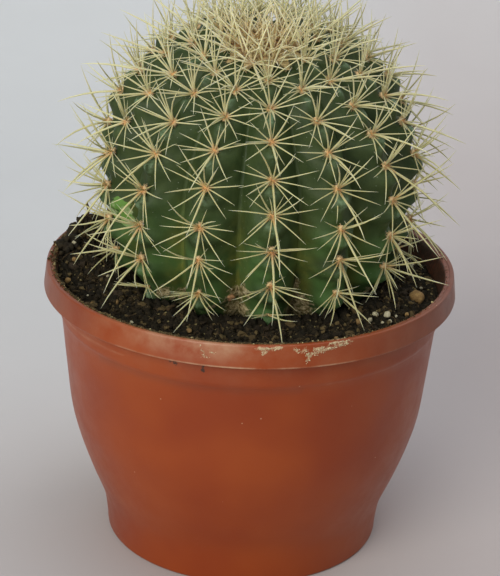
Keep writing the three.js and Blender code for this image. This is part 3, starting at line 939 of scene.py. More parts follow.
STRAND_SHARES = np.array([-0.06, 0.12, 0.34, 0.58, 0.8, 1.0])
STRAND_TAPER = np.array([1.0, 1.0, 0.9, 0.74, 0.5, 0.1])


def strands(name, items):
    """Chains of edges for strands, each given as start, end, radius, sideways bend and, where
    it isn't left to chance, how far its colour goes to the darker one."""
    points, edges, thickness, along, chance = [], [], [], [], []
    for i, (start, end, radius, bend, *own) in enumerate(items):
        first = len(points)
        for share, taper in zip(STRAND_SHARES, STRAND_TAPER):
            arch = 4 * max(share, 0) * (1 - share)
            points.append(start + (end - start) * share + bend * arch)
            thickness.append(radius * taper * MM)
            along.append(max(share, 0))
            chance.append(own[0] if own else 0.5 + 0.5 * draw(i * 1.7 + 0.3))
        edges += [(first + j, first + j + 1) for j in range(len(STRAND_SHARES) - 1)]
    return mesh_piece(name, to_pot(points), edges=edges, thickness=thickness, along=along, chance=chance)


def thicken(piece, material, node):
    """Makes round strands of a piece's chains of edges."""
    apply_tree(piece, strand_tree(piece.name + "_strands", material), Sides=STRAND_SIDES)
    return dress(piece, material, node)


def bend_of(pad, start, end, seed, most):
    """A slight arch of a spine, away from the skin or back towards it at the tip."""
    length = np.linalg.norm(end - start)
    across = unit(np.cross(end - start, pad["out"]) + 1e-6)
    up = unit(np.cross(across, end - start))
    return length * most * (up * (0.5 + 0.5 * draw(seed + 0.5)) + across * 0.5 * draw(seed + 0.9))


def make_spines(material):
    thicket = Thicket()
    for start, end in young_spine_lines():
        thicket.put(CROWN, start, end)
    items = []
    for number, pad in enumerate(PADS):
        for plan_number in FACET_ORDER:
            plan = MAIN_SPINES[plan_number]
            seed = pad["seed"] + plan_number * 0.13
            line = place_spine(thicket, number, pad, plan, seed, LEAST_SPREAD, SPINE_RADIUS)
            if line:
                most = CENTRAL_BEND if plan[1] > CENTRAL_RISE else RADIAL_BEND
                items.append((*line, plan[3], bend_of(pad, *line, seed, most)))
    for number, pad in enumerate(PADS):
        for i, plan in enumerate(FINE_SPINES):
            seed = pad["seed"] + 50 + i * 0.17
            dropped = FINE_DROPPED * smoothstep(pad["arc"], 30, 60) + 0.9 * (1 - pad["reach"])
            if 0.5 + 0.5 * draw(seed * 3.1) < dropped:
                continue
            turn, rise, length, _ = plan
            plan = (turn + 9 * draw(seed + 0.2), rise + 6 * draw(seed + 0.55), length, plan[3])
            line = place_spine(thicket, number, pad, plan, seed, FINE_SPREAD, FINE_RADIUS)
            if line:
                items.append((*line, plan[3], bend_of(pad, *line, seed, FINE_BEND)))
    return thicken(strands("cactus_spines", items), material, "cactus")


# The plant's body

def make_body(material):
    """A plain barrel whose points know their turn between crest and groove, folded into
    ribs by the geometry tree, then leant into place."""
    around = RIBS * POINTS_PER_RIB
    arcs = np.linspace(OUTLINE_LENGTH, CROWN_EDGE * BODY_TOP_SHARE, BODY_ROWS)
    outline = outline_at(arcs)
    angles = FIRST_RIB_ANGLE + np.arange(around) / around * 2 * math.pi
    rib_place = np.arange(around) / POINTS_PER_RIB
    turn = np.tile(np.abs(rib_place - np.round(rib_place)) * 2, BODY_ROWS)
    chin, bloom_and_highlight = chins(arcs, angles)
    points = rings_of(outline, angles)
    flank = np.hypot(turn, CREST_ROUNDNESS) - CREST_ROUNDNESS
    inwards = 1 - GROOVE_SHARE * (FLANK_SHARE * flank + HOLLOW_SHARE * turn ** 2)
    world = to_pot(points * np.stack([inwards, inwards, np.ones(len(points))], -1))
    above = world[:, 2] - soil_height(world[:, 0], world[:, 1])
    cork = 0.64 * smoothstep(-above, -8, -1) * (0.6 + 0.4 * smoothstep(turn, 0.35, 0.8))
    uneven = 0.16 * lumps(points, 16, 4) + 0.07 * lumps(points, 6, 5) - 0.18
    values = {
        "turn": turn,
        "chin": chin.ravel() + uneven,
        "bloom_and_highlight": bloom_and_highlight.ravel(),
        "groove": smoothstep(turn, 0.45, 1.0),
        "low": smoothstep(-above, -50, -12),
        "cork": np.maximum(cork, near_spots(world, CORK_SPOTS, CORK_STRENGTH)),
        "scar": near_spots(world, SCAR_SPOTS, SCAR_STRENGTH),
    }
    values = {key: np.concatenate([value, [0, 0]]) for key, value in values.items()}
    ends = [[0, 0, BARREL_BOTTOM], [0, 0, outline[-1, 1] - 0.3]]
    points = np.concatenate([points, ends])
    piece = mesh_piece("cactus_body", points, ring_faces(BODY_ROWS, around), **values)
    apply_tree(piece, rib_tree("barrel_ribs", material), **{
        "Groove depth share": GROOVE_SHARE, "Crest roundness": CREST_ROUNDNESS,
        "Chin height": CHIN_HEIGHT * MM,
    })
    lean = Matrix.Rotation(LEAN, 4, "X")
    piece.data.transform(Matrix.Translation(Vector(BARREL_CENTRE) * MM) @ lean)
    return dress(piece, material, "cactus")


def swelling(strength, below, off, form):
    """One form of the skin, by the distance below its pad and the share of the way to a groove."""
    drop, tall, wide = form
    return strength * hill(below - drop, tall) * hill(off, wide)


def chins(arcs, angles):
    """How far the skin swells below each pad and dips at it, and how pale the swelling is, as a
    waxy coating and partly a painted highlight, for each arc down the ribs and each angle."""
    chin = np.zeros((len(arcs), len(angles)))
    bloom_and_highlight = np.zeros_like(chin)
    half_pitch = math.pi / RIBS
    for pad in PADS:
        centre = FIRST_RIB_ANGLE + (LEFTMOST_RIB + pad["rib"]) * 2 * half_pitch
        off = np.abs(np.angle(np.exp(1j * (angles - centre)))) / half_pitch
        fade = min(1, pad["arc"] / CHINS_FULL_FROM)
        below = arcs[:, None] - pad["arc"]
        chin += swelling(fade, below, off, CHIN)
        chin -= swelling(DIP_SHARE * fade, below, off, DIP)
        pale = 1.1 + 0.7 * draw(pad["seed"] + 0.77)
        bloom_and_highlight += swelling(pale, below, off, BLOOM_AND_HIGHLIGHT)
    return chin, bloom_and_highlight


def near_spots(points, spots, strength):
    """Full strength at each spot, and less towards its reach."""
    found = np.zeros(len(points))
    for x, y, z, reach in spots:
        apart = np.linalg.norm(points - np.array([x, y, z]), axis=1)
        found = np.maximum(found, strength * hill(apart, reach))
    return found


def make_pads(material):
    places = to_pot([pad["place"] for pad in PADS])
    origin = to_pot(np.zeros((1, 3)))[0]
    outs, ups = (to_pot([pad[way] for pad in PADS]) - origin for way in ("out", "crownward"))
    sizes = [1.5 * pad["reach"] - 0.5 for pad in PADS]
    piece = mesh_piece("areole_felt", places + outs * 0.1, out=outs, crownward=ups, own_size=sizes)
    apply_tree(piece, pad_tree("felt_domes", material), Size=tuple(size * MM for size in PAD_SIZE))
    add_hairs(piece, "felt_hairs", material, 1.1, 0.13, 7)
    return dress(piece, material, "cactus")


def add_hairs(piece, name, material, length, radius, seed):
    """Covers a piece with hairs, their length and radius in millimetres."""
    apply_tree(piece, hair_tree(name, material), **{
        "Hairs per square metre": HAIRS_PER_SQUARE_METRE, "Length": length * MM,
        "Radius": radius * MM, "Lean": HAIR_LEAN, "Seed": seed,
    })


def make_wool(material):
    """A low dome of wool with short hairs, whose edge reaches out on the ribs' crests and is
    drawn in at the grooves and behind."""
    rings = []
    for i in range(WOOL_ROWS):
        angle = i / WOOL_ROWS * math.pi / 2
        radius = WOOL_RADIUS * math.cos(angle) ** 0.8
        height = WOOL_BOTTOM + WOOL_HEIGHT * math.sin(angle)
        for j in range(WOOL_SIDES):
            turn = j / WOOL_SIDES * 2 * math.pi
            crest = (0.5 + 0.5 * math.cos(RIBS * (turn - FIRST_RIB_ANGLE))) ** 1.5
            reach = radius * (WOOL_IN_GROOVES + (WOOL_ON_CRESTS - WOOL_IN_GROOVES) * crest)
            reach *= 1 - WOOL_SHORT_BEHIND * (0.5 - 0.5 * math.cos(turn))
            sunk = 0.35 * max(0, reach - WOOL_RADIUS)
            rings.append(on_ring(reach, turn, height - sunk))
    ends = [[0, 0, WOOL_BOTTOM], [0, 0, WOOL_BOTTOM + WOOL_HEIGHT]]
    points = np.array(rings + ends)
    swell = 0.35 * lumps(points, 4, 11)
    points[:, 2] += np.where(points[:, 2] > WOOL_BOTTOM + 0.5, swell, 0)
    edge = smoothstep(-points[:, 2], -WOOL_BOTTOM - 1.6, -WOOL_BOTTOM)
    centre = 0.75 + 0.3 * lumps(points, 5, 12) - 0.7 * edge
    faces = ring_faces(WOOL_ROWS, WOOL_SIDES)
    dome = mesh_piece("crown_wool_dome", to_pot(points), faces, centre=centre)
    add_hairs(dome, "wool_hairs", material, 1.9, 0.15, 3)
    dress(dome, material, "crown_wool")


def make_young_spines(material):
    """The short spines that stand in the wool, and the tufts round them."""
    items = []
    for i, (start, end) in enumerate(young_spine_lines()):
        from_axis = math.hypot(start[0], start[1])
        share = from_axis / WOOL_RADIUS
        at_back = 0.5 + 0.5 * start[1] / from_axis
        sway = np.array([draw(i * 3.3), draw(i * 4.7), 0]) * YOUNG_SPINE_SWAY
        brown = (0.85 - 0.6 * share) * (1 - 0.6 * at_back) + 0.15 * abs(draw(i * 5.1))
        tip = end + sway - (end - start) * 0.35 * at_back
        items.append((start, tip, YOUNG_SPINE_RADIUS, np.zeros(3), brown))
    return thicken(strands("crown_young_spines", items + young_tufts()), material, "crown_wool")


def young_tufts():
    """The crown's newest areoles: closely spaced tufts whose spines cross each other every
    way, short and brown in the middle, and nearly full grown and pale round the wool's edge."""
    items = []
    for i in range(YOUNG_TUFTS):
        share = math.sqrt((i + 0.5) / YOUNG_TUFTS)
        angle = i * GOLDEN_ANGLE + 1.1
        height = WOOL_BOTTOM + (WOOL_HEIGHT - 0.8) * math.sqrt(1 - 0.92 * share * share)
        root = on_ring(1.04 * WOOL_RADIUS * share, angle, height)
        out = on_ring(math.sin(0.5 * share), angle, math.cos(0.5 * share))
        side = np.array([math.cos(angle), math.sin(angle), 0.0])
        back = np.cross(out, side)
        at_back = 0.5 - 0.5 * math.cos(angle)
        count = 5 + round(2 * share - 2.6 * at_back)
        for j in range(count):
            seed = i * 11 + j
            turn = 2 * math.pi * (j + 0.5 * draw(seed)) / count
            tilt = 0.7 + 0.2 * share + 0.4 * draw(seed + 0.4)
            spread = side * math.cos(turn) + back * math.sin(turn)
            way = out * math.cos(tilt) + spread * math.sin(tilt)
            length = (10 + 9 * share - 4 * at_back) * (1 + 0.25 * draw(seed + 0.7))
            bend = out * length * 0.05 * (1 + draw(seed + 0.9))
            brown = max(0, 0.6 - 0.8 * share) * (1 - 0.7 * at_back) + 0.15 * abs(draw(seed + 0.15))
            items.append((root + spread * 0.4, root + way * length, 0.31 + 0.06 * share, bend, brown))
    return items


# The pot

POT_WALL_POINTS = np.array([
    (FOOT_RADIUS + 0.2, 4), (52.3, 14.5), (57.2, 27), (61.4, 39), (64.3, 50.5), (66.0, 65),
    (NECK_RADIUS - NECK_STEP, POT_HEIGHT - COLLAR_HEIGHT - NECK_STEP_DROP),
])


def smooth_line(points, steps):
    """A smooth curve through points."""
    made = []
    last = len(points) - 1
    for s in np.linspace(0, last, steps + 1):
        i = min(int(s), last - 1)
        t = s - i
        p0, p1, p2, p3 = points[max(i - 1, 0)], points[i], points[i + 1], points[min(i + 2, last)]
        v0, v1 = (p2 - p0) / 2, (p3 - p1) / 2
        made.append(
            (2 * p1 - 2 * p2 + v0 + v1) * t ** 3 + (3 * p2 - 3 * p1 - 2 * v0 - v1) * t ** 2 + v0 * t + p1
        )
    return made


def rounded(corners, steps=4):
    """An outline whose corners, each given as radius, height and how far to round, are eased."""
    made = []
    for i, (r, z, ease) in enumerate(corners):
        here = np.array([r, z])
        if ease == 0:
            made.append(here)
            continue
        before = np.array(corners[i - 1][:2]) - here
        after = np.array(corners[i + 1][:2]) - here
        a = here + unit(before) * min(ease, 0.45 * np.linalg.norm(before))
        b = here + unit(after) * min(ease, 0.45 * np.linalg.norm(after))
        for t in np.linspace(0, 1, steps + 1):
            made.append(a * (1 - t) ** 2 + 2 * here * t * (1 - t) + b * t * t)
    return made


def collar_radius(down):
    """Outer radius of the collar at a depth below the rim."""
    return RIM_OUTER_RADIUS + 0.1 + (COLLAR_RADIUS - RIM_OUTER_RADIUS - 0.1) * down / COLLAR_HEIGHT


def pot_outline():
    skirt = POT_HEIGHT - COLLAR_HEIGHT
    under_rim = POT_HEIGHT - RIM_THICKNESS
    step = skirt - NECK_STEP_DROP
    outer = [(r, z, 0) for r, z in smooth_line(POT_WALL_POINTS, OUTER_WALL_STEPS)]
    downs = np.arange(COLLAR_HEIGHT - 0.8, 1.0, -0.6)
    collar = [(collar_radius(down), POT_HEIGHT - down, 0) for down in downs]
    rises = np.arange(2.4, NECK_STEP_DROP - 0.6, 0.6)
    neck = [(NECK_RADIUS + 0.03 * rise, step + rise, 0) for rise in rises]
    inner = [(r - POT_WALL, z, 0) for r, z in smooth_line(POT_WALL_POINTS, INNER_WALL_STEPS)][::-1]
    return rounded([
        (0, 0, 0),
        (FOOT_RADIUS - 9, 0, 0),
        (FOOT_RADIUS, 0, 1.2),
        *outer,
        (NECK_RADIUS, step + 1.5, 1.0),
        *neck,
        (NECK_RADIUS + 0.3, skirt, 0.3),
        (RIM_INNER_RADIUS + 0.6, under_rim, 0.4),
        (RIM_OUTER_RADIUS - COLLAR_WALL + 0.3, under_rim, 0.4),
        (COLLAR_RADIUS - COLLAR_WALL, skirt, 0.4),
        (COLLAR_RADIUS, skirt, 0.5),
        *collar,
        (RIM_OUTER_RADIUS + 0.1, POT_HEIGHT, 0.9),
        (RIM_OUTER_RADIUS - RIM_LIP_WIDTH + 0.1, POT_HEIGHT, 0.25),
        (RIM_OUTER_RADIUS - RIM_LIP_WIDTH - 0.1, POT_HEIGHT - RIM_STEP, 0.2),
        (RIM_INNER_RADIUS, POT_HEIGHT - RIM_STEP, 0.5),
        (RIM_INNER_RADIUS - 0.6, POT_HEIGHT - RIM_STEP - 1.2, 0.4),
        (NECK_RADIUS - POT_WALL + 0.4, skirt - 2, 0.6),
        *inner,
        (FOOT_RADIUS - POT_WALL - 0.6, POT_FLOOR, 0.8),
        (0, POT_FLOOR, 0),
    ])


# Where lime dried on the collar's front: strokes from one angle and depth below the rim to
# another, with their half width in millimetres
LIME_STROKES = [
    (16, 3.6, 20, 2.5, 0.7), (20, 2.4, 28.5, 0.8, 0.5), (15, 1.3, 16, 4.2, 0.7), (15.9, 4, 15.6, 6.4, 0.45),
    (12.4, 1, 13.6, 2.6, 0.5), (17.5, 2, 20.5, 1.4, 0.5), (21.5, 0.4, 27.5, 0.3, 0.25),
    (2.4, 1, 9, 0.7, 0.5), (3.6, 1.2, 5.4, 2.2, 0.55), (3.9, 2.2, 4, 3.2, 0.25),
]
LIME_SPECKS = [(-12.2, 0.8, -11, 5, 0.6), (-10, 2.5, -8.6, 3.4, 0.5), (-11.4, 4.4, -9.6, 5, 0.5)]
# A pale streak on the neck, and a painted highlight on the edge of its step at the right
PALE_STREAK_AND_STEP_HIGHLIGHT = [(-70, 14.6, -38, 13.9, 0.4), (24, 18.2, 62, 18.2, 0.35)]
# Painted shade in the corner of the neck's step, at the front and left
NECK_STEP_SHADE = (-48, 18.9, 16, 18.9, 0.3)
# Dirt caught under the collar: angle from the front and depth below the rim
DIRT_SPECKS = [(-21.6, 11.0), (-20.2, 11.3), (-12.2, 10.9), (-12.3, 12.3)]
SPECK_MM_PER_DEGREE = 1.28
SPECK_REACH = 1.4
# How far the film of lime reaches past its strokes, in their half widths
LIME_FILM = 2.2
LIME_SHARE = 0.64
# Crumbs of lime on each millimetre of a stroke or speck
LIME_CROWD = 13
LIME_SPECK_CROWD = 6
CRUST_MM_PER_DEGREE = 1.3
# Grit on the rim's ledge: middle and spread by angle from the front, and number of grains
GRIT_BANDS = [(-18, 26, 1500), (-60, 26, 900), (HEAP_FRONT_ANGLE, 13, 400), (0, 50, 300)]


def off_stroke(angle, down, stroke):
    """Distance on the collar from a stroke, in shares of its half width."""
    mm_per_degree = math.radians(1) * COLLAR_RADIUS
    here = np.stack([angle * mm_per_degree, down], -1)
    start = np.array([stroke[0] * mm_per_degree, stroke[1]])
    span = np.array([stroke[2] * mm_per_degree, stroke[3]]) - start
    share = np.clip((here - start) @ span / (span @ span), 0, 1)
    return np.linalg.norm(here - start - share[..., None] * span, axis=-1) / stroke[4]


def make_pot(material):
    """The turned shell, stained by its points' values, with the drain holes cut out."""
    outline = pot_outline()
    rings = outline[1:-1]
    angles = np.arange(POT_SIDES) / POT_SIDES * 2 * math.pi
    ends = [[0, 0, outline[0][1]], [0, 0, outline[-1][1]]]
    points = np.concatenate([rings_of(rings, angles), ends])
    top_ring = max(range(len(rings)), key=lambda i: rings[i][1])
    inside = np.repeat(np.arange(len(rings)) > top_ring + RIM_ROWS, POT_SIDES)
    stains = pot_stains(points, np.concatenate([inside, [False, True]]))
    piece = mesh_piece("pot_shell", points, ring_faces(len(rings), POT_SIDES), **stains)
    cutter = drain_cutter()
    cut = piece.modifiers.new("drain_holes", "BOOLEAN")
    cut.operation, cut.solver, cut.object = "DIFFERENCE", "EXACT", cutter
    baked(piece)
    bpy.data.objects.remove(cutter)
    dress(piece, material, "pot")
    piece.data.set_sharp_from_angle(angle=math.radians(POT_SHARP_FROM))


def near_strokes(angle, down, strokes, reach=1):
    """1 on each stroke, and less within about so many of its half widths."""
    found = np.zeros(len(angle))
    for stroke in strokes:
        found = np.maximum(found, hill(off_stroke(angle, down, stroke), reach))
    return found


def pot_stains(points, inside):
    """Shares of lime, of soil with painted shade, of dusting with a painted sheen and highlights,
    and of painted shade on the pot, by the angle from its front in degrees and the depth below its
    rim in millimetres."""
    x, y, z = points.T
    from_axis = np.hypot(x, y)
    angle, down = np.degrees(np.arctan2(x, -y)), POT_HEIGHT - z
    lime = LIME_SHARE * near_strokes(angle, down, LIME_STROKES, LIME_FILM)
    return {
        "lime": np.where(inside, 0, lime),
        "soil_and_painted_shade": soil_and_shade_on_pot(angle, down, from_axis, inside),
        "dust_and_painted_sheen": dust_and_sheen_on_pot(angle, down, from_axis, inside),
        # The whole inside of the pot gets painted shade
        "painted_shade": np.where(inside, 1.2, painted_shade_on_pot(angle, down)),
    }


def soil_and_shade_on_pot(angle, down, from_axis, inside):
    """Soil on the rim's ledge, most at the front and where the heap spills over, specks, and painted shade
    as a dark film over the inside of the pot.
    """
    on_top = down < 3
    front = 0.35 + 0.65 * hill(angle + 25, 70)
    ledge = 0.56 * front * hill(from_axis - RIM_INNER_RADIUS, 0.9) * on_top
    on_ledge = on_top & (from_axis < RIM_OUTER_RADIUS - 0.9)
    spilt = 0.66 * hill(angle - HEAP_FRONT_ANGLE, 30) * on_ledge
    # Inside the pot the dark film is painted shade
    soil_and_painted_shade = np.where(inside, 0.6, np.maximum(ledge, spilt))
    for at, deep in DIRT_SPECKS:
        away = np.hypot((angle - at) * SPECK_MM_PER_DEGREE, down - deep)
        soil_and_painted_shade = np.maximum(soil_and_painted_shade, 0.8 * hill(away, SPECK_REACH))
    return soil_and_painted_shade


def dust_and_sheen_on_pot(angle, down, from_axis, inside):
    """Dusting on the collar with a painted sheen at its front left, dusting down the wall, a painted
    highlight on the collar's lower edge at the front, a pale streak on the neck and a painted highlight on
    the edge of the neck's step.
    """
    # Dusting on the collar, paler at the front left, where it is a painted sheen
    under_rim = smoothstep(-down, -COLLAR_HEIGHT - 1, -1) * (0.06 + 0.94 * hill(angle + 14, 20))
    dust_and_painted_sheen = np.maximum(under_rim, 0.14 * smoothstep(-down, -26, -6))
    # A painted highlight along the collar's lower edge at the front
    collar_edge_highlight = hill(down - COLLAR_HEIGHT + 0.25, 0.35) * hill(angle, 34)
    dust_and_painted_sheen = np.maximum(dust_and_painted_sheen, 1.7 * collar_edge_highlight * (from_axis > NECK_RADIUS + 3))
    # A pale streak on the neck, and a painted highlight on the edge of the neck's step
    return np.maximum(dust_and_painted_sheen, 0.55 * near_strokes(angle, down, PALE_STREAK_AND_STEP_HIGHLIGHT) * ~inside)


def painted_shade_on_pot(angle, down):
    """Painted shade: the collar darker towards both sides, and a dark line in the neck's step."""
    painted_shade = 0.75 * smoothstep(angle, 5, 75) + 0.6 * smoothstep(-angle, 25, 85)
    painted_shade = painted_shade * smoothstep(-down, -COLLAR_HEIGHT - 0.5, -COLLAR_HEIGHT + 0.5)
    return np.maximum(painted_shade, 0.4 * near_strokes(angle, down, [NECK_STEP_SHADE]))


def drain_cutter():
    points, faces = [], []
    for i in range(DRAIN_HOLES):
        angle = 2 * math.pi * (i + 0.5) / DRAIN_HOLES
        centre = np.array([math.cos(angle), math.sin(angle)]) * DRAIN_CIRCLE_RADIUS
        first = len(points)
        for z in (-POT_FLOOR, POT_FLOOR * 2):
            for j in range(DRAIN_HOLE_SIDES):
                turn = 2 * math.pi * j / DRAIN_HOLE_SIDES
                x, y = centre + DRAIN_HOLE_RADIUS * np.array([math.cos(turn), math.sin(turn)])
                points.append((x, y, z))
        points += [(*centre, -POT_FLOOR), (*centre, POT_FLOOR * 2)]
        faces += [tuple(first + c for c in face) for face in ring_faces(2, DRAIN_HOLE_SIDES)]
    return mesh_piece("drain_cutter", points, faces)


# The soil

def underside(x, y):
    """Height of the ribbed barrel's underside over each place, or infinity beside it."""
    found = np.full(len(x), np.inf)
    for z in SKIN_LEVELS[::-1]:
        local = to_barrel(np.stack([x, y, np.full(len(x), z)], -1))
        rib_place = (np.arctan2(local[:, 0], -local[:, 1]) - FIRST_RIB_ANGLE) * RIBS / (2 * math.pi)
        turn = np.abs(rib_place - np.round(rib_place)) * 2
        crest = crest_radius_below(local[:, 2])
        skin = crest * (1 - GROOVE_SHARE * (FLANK_SHARE * turn + HOLLOW_SHARE * turn ** 2))
        beside = np.hypot(local[:, 0], local[:, 1]) < skin + SKIN_MARGIN
        found = np.where(beside & (local[:, 2] > BARREL_BOTTOM - SKIN_MARGIN), z, found)
    return found


def inner_wall(height):
    """Radius of the pot's inner face near the soil's surface."""
    skirt = POT_HEIGHT - COLLAR_HEIGHT
    ledge = POT_HEIGHT - RIM_STEP
    heights = [skirt - NECK_STEP_DROP, skirt - 2, ledge - 1.2, ledge]
    neck = NECK_RADIUS - POT_WALL
    radii = [neck - NECK_STEP, neck + 0.4, RIM_INNER_RADIUS - 0.6, RIM_INNER_RADIUS]
    return np.interp(height, heights, radii)


def clod_height(place):
    """Relief of crumbly peat: swells, and clods of two sizes with dark cracks between them."""
    height = 1.1 * noise.fractal(place * 0.2, 0.8, 2.3, 4)
    for size, rise in ((3.6, 1.9), (1.7, 0.8)):
        near, next_near = noise.voronoi(place / size)[0][:2]
        height += rise * (min((next_near - near) / 0.35, 1) - 0.7)
    return height


def soil_rings():
    """The bed's points up the pot's wall and in over the still flat top, and the top's start."""
    angles = np.arange(SOIL_SIDES) / SOIL_SIDES * 2 * math.pi
    ways = np.stack([np.cos(angles), np.sin(angles)], -1)
    edge = soil_height(*(ways * (RIM_INNER_RADIUS - 1.5)).T)
    brim_height = np.minimum(edge - FIT, POT_HEIGHT - RIM_STEP)
    brim = inner_wall(brim_height) - FIT
    wall = [(r - POT_WALL - FIT, z) for r, z in smooth_line(POT_WALL_POINTS, SOIL_WALL_STEPS)]
    low = [(FOOT_RADIUS - POT_WALL - 0.9, POT_FLOOR + FIT), *wall]
    rings = [np.column_stack([ways * r, np.full(SOIL_SIDES, z)]) for r, z in low]
    rings.append(np.column_stack([ways * brim[:, None], brim_height]))
    top_start = len(rings) * SOIL_SIDES
    for share in SOIL_TOP_SHARES:
        radius = brim - 0.15 - share * (brim - SOIL_UNSEEN_RADIUS)
        rings.append(np.column_stack([ways * radius[:, None], np.zeros(SOIL_SIDES)]))
    ends = [[0, 0, POT_FLOOR + FIT], [0, 0, 0]]
    return np.concatenate([*rings, ends]), top_start


def make_soil(material, lumpy, fines):
    """A closed bed that meets the pot's wall all round, lies under the plant's ribs and is
    lumpy on top, with crumbs scattered over the open part."""
    points, top_start = soil_rings()
    top = points[top_start:-2]
    surface = soil_height(top[:, 0], top[:, 1])
    rough = np.array([clod_height(Vector(place)) for place in np.column_stack([top[:, :2], surface])])
    pit = underside(top[:, 0], top[:, 1])
    to_plant = np.hypot(top[:, 0] - BARREL_CENTRE[0], top[:, 1] - PLANT_FOOT_Y)
    hollow = HOLLOW_DEPTH * smoothstep(-to_plant, -HOLLOW_EDGE, -HOLLOW_FULL)
    top[:, 2] = np.minimum(surface + rough - hollow - 0.7, pit - 0.5)
    points[-1, 2] = pit.min() - 0.5
    density = np.zeros(len(points))
    density[top_start:-2] = (pit == np.inf) * (1 - 0.4 * smoothstep(top[:, 1], 0, 30))
    faces = ring_faces(len(points) // SOIL_SIDES, SOIL_SIDES)
    piece = mesh_piece("soil_bed", points, faces, density=density, shade=np.full(len(points), 0.3))
    bed = piece.data.copy()
    dress(piece, material, "potting_soil")
    scatter("soil_crumbs", bed, material, 0.68, 0.25, 1.0, 0.5, 21)
    scatter("soil_lumps", bed, lumpy, 0.055, 0.5, 1.7, 0.6, 23, detail=2)
    scatter("soil_fines", bed, fines, 0.74, 0.12, 0.38, 0.6, 22)


def scatter(name, bed, material, per_square_mm, least, largest, flatness, seed, detail=1):
    """Crumbs over the soil bed, their sizes in millimetres."""
    piece = bpy.data.objects.new(name, bed.copy())
    bpy.context.scene.collection.objects.link(piece)
    apply_tree(piece, grain_tree(name + "_grains", material, scattered=True), **{
        "Grains per square metre": per_square_mm * 1e6, "Least size": least * MM,
        "Largest size": largest * MM, "Flatness": flatness, "Roughness": 0.6 + 0.3 * detail,
        "Seed": seed, "Detail": detail,
    })
    dress(piece, material, "potting_soil", smooth=False)


def make_grains(name, points, sizes, material, node, flatness, roughness, seed, detail=1):
    """One grain on each point, its size in millimetres. Only the plainest have flat faces."""
    piece = mesh_piece(name, points, size=np.asarray(sizes) * MM)
    values = {"Flatness": flatness, "Roughness": roughness, "Seed": seed, "Detail": detail}
    apply_tree(piece, grain_tree(name + "_grains", material, scattered=False), **values)
    return dress(piece, material, node, smooth=detail > 1)


# Grains that stick out of the soil: place and radius. The solid model has nine of them.
PERLITE = [
    (48.2, -31.8, 1.3), (44.1, -32.1, 0.9), (42, -37.3, 0.85), (49.2, -34.2, 0.6), (-64.5, 7.3, 0.9),
    (10, 62, 1.6), (50, 38, 1.5), (-51.1, -6.9, 0.6), (46.5, -35.5, 0.5), (51.5, -30, 0.5),
    (-40, -44, 0.5), (-57, -22, 0.4), (20, -60, 0.5), (-8, -62, 0.4), (60, 20, 0.9),
    (30, 57, 0.8), (-20, 62, 0.9), (62, -2, 0.5),
]
TAN_GRAINS = [
    (59.8, -11.4, 2.5), (38, -38.7, 1.2), (-64.9, -12.8, 1.2), (-63.8, 0.5, 0.9), (36, -49, 0.8),
    (55.4, -28.5, 0.8), (-55, -28, 0.7), (-46, -30, 0.8), (30, -52, 0.7), (-20, -52, 0.8),
]


def grains_on_soil(name, places, material, seed, roughness=0.28):
    x, y, radius = np.array(places, float).T
    points = np.stack([x, y, soil_height(x, y) + radius * 0.1], -1)
    return make_grains(name, points, radius, material, "potting_soil", 0.8, roughness, seed, 3)


def make_remnant(material):
    """A pinkish dry bit caught between two ribs at the plant's foot."""
    places = [(-6.8, -35.2, 105.0), (-8.3, -35.6, 105.4)]
    return make_grains("dry_remnant", places, [1.5, 0.9], material, "potting_soil", 0.7, 0.6, 51, 3)


def clods():
    """Larger clumps of peat along the heap's top."""
    places = []
    for i in range(CLODS):
        angle = HEAP_ANGLE + 0.3 * draw(i * 2.3)
        radius = HEAP_RADIUS + 3.5 * draw(i * 3.7 + 0.4)
        places.append((radius * math.cos(angle), radius * math.sin(angle), 1.3 + 0.6 * draw(i * 5.9)))
    return places


def make_rim_grit(chance, material):
    """Dry crumbs along the rim's inner ledge, thickest at the front left and where the heap
    spills over."""
    ledge = POT_HEIGHT - RIM_STEP
    points, sizes = [], []
    for middle, spread, count in GRIT_BANDS:
        spill = 0.9 if middle == HEAP_FRONT_ANGLE else 0
        for _ in range(count):
            angle = math.radians(chance.normal(middle, spread))
            radius = RIM_INNER_RADIUS + 0.3 + 0.6 * spill + chance.normal(0, 0.45 + 0.4 * spill)
            radius = min(radius, RIM_OUTER_RADIUS - 0.6)
            size = 0.09 + chance.exponential(0.09 + 0.1 * spill)
            lip = RIM_STEP if radius > RIM_OUTER_RADIUS - RIM_LIP_WIDTH else 0
            height = ledge + lip + size * 0.4 - max(0, RIM_INNER_RADIUS - radius) * 1.8
            points.append(on_ring(radius, angle, height))
            sizes.append(min(size, 0.9))
    make_grains("rim_grit", points, sizes, material, "potting_soil", 0.6, 0.4, 31)


def make_lime_crust(chance, material):
    """Crusts of lime along the strokes on the collar's front edge."""
    points, sizes = [], []
    crusts = [(s, LIME_CROWD) for s in LIME_STROKES] + [(s, LIME_SPECK_CROWD) for s in LIME_SPECKS]
    for stroke, crowd in crusts:
        from_angle, from_depth, to_angle, to_depth, width = stroke
        reach = math.hypot((to_angle - from_angle) * CRUST_MM_PER_DEGREE, to_depth - from_depth) + width
        for _ in range(int(crowd * reach)):
            share = chance.uniform(0, 1)
            angle = from_angle + (to_angle - from_angle) * share + chance.normal(0, width * 0.55)
            down = from_depth + (to_depth - from_depth) * share + chance.normal(0, width * 0.6)
            down = abs(down) + 0.1
            radius = collar_radius(down) - 0.35 * max(0, 0.6 - down)
            points.append(on_ring(radius, math.radians(angle), POT_HEIGHT - down + 0.03))
            sizes.append(0.06 + min(chance.exponential(0.06), 0.24))
    make_grains("lime_crust", points, sizes, material, "pot", 0.5, 0.4, 32)


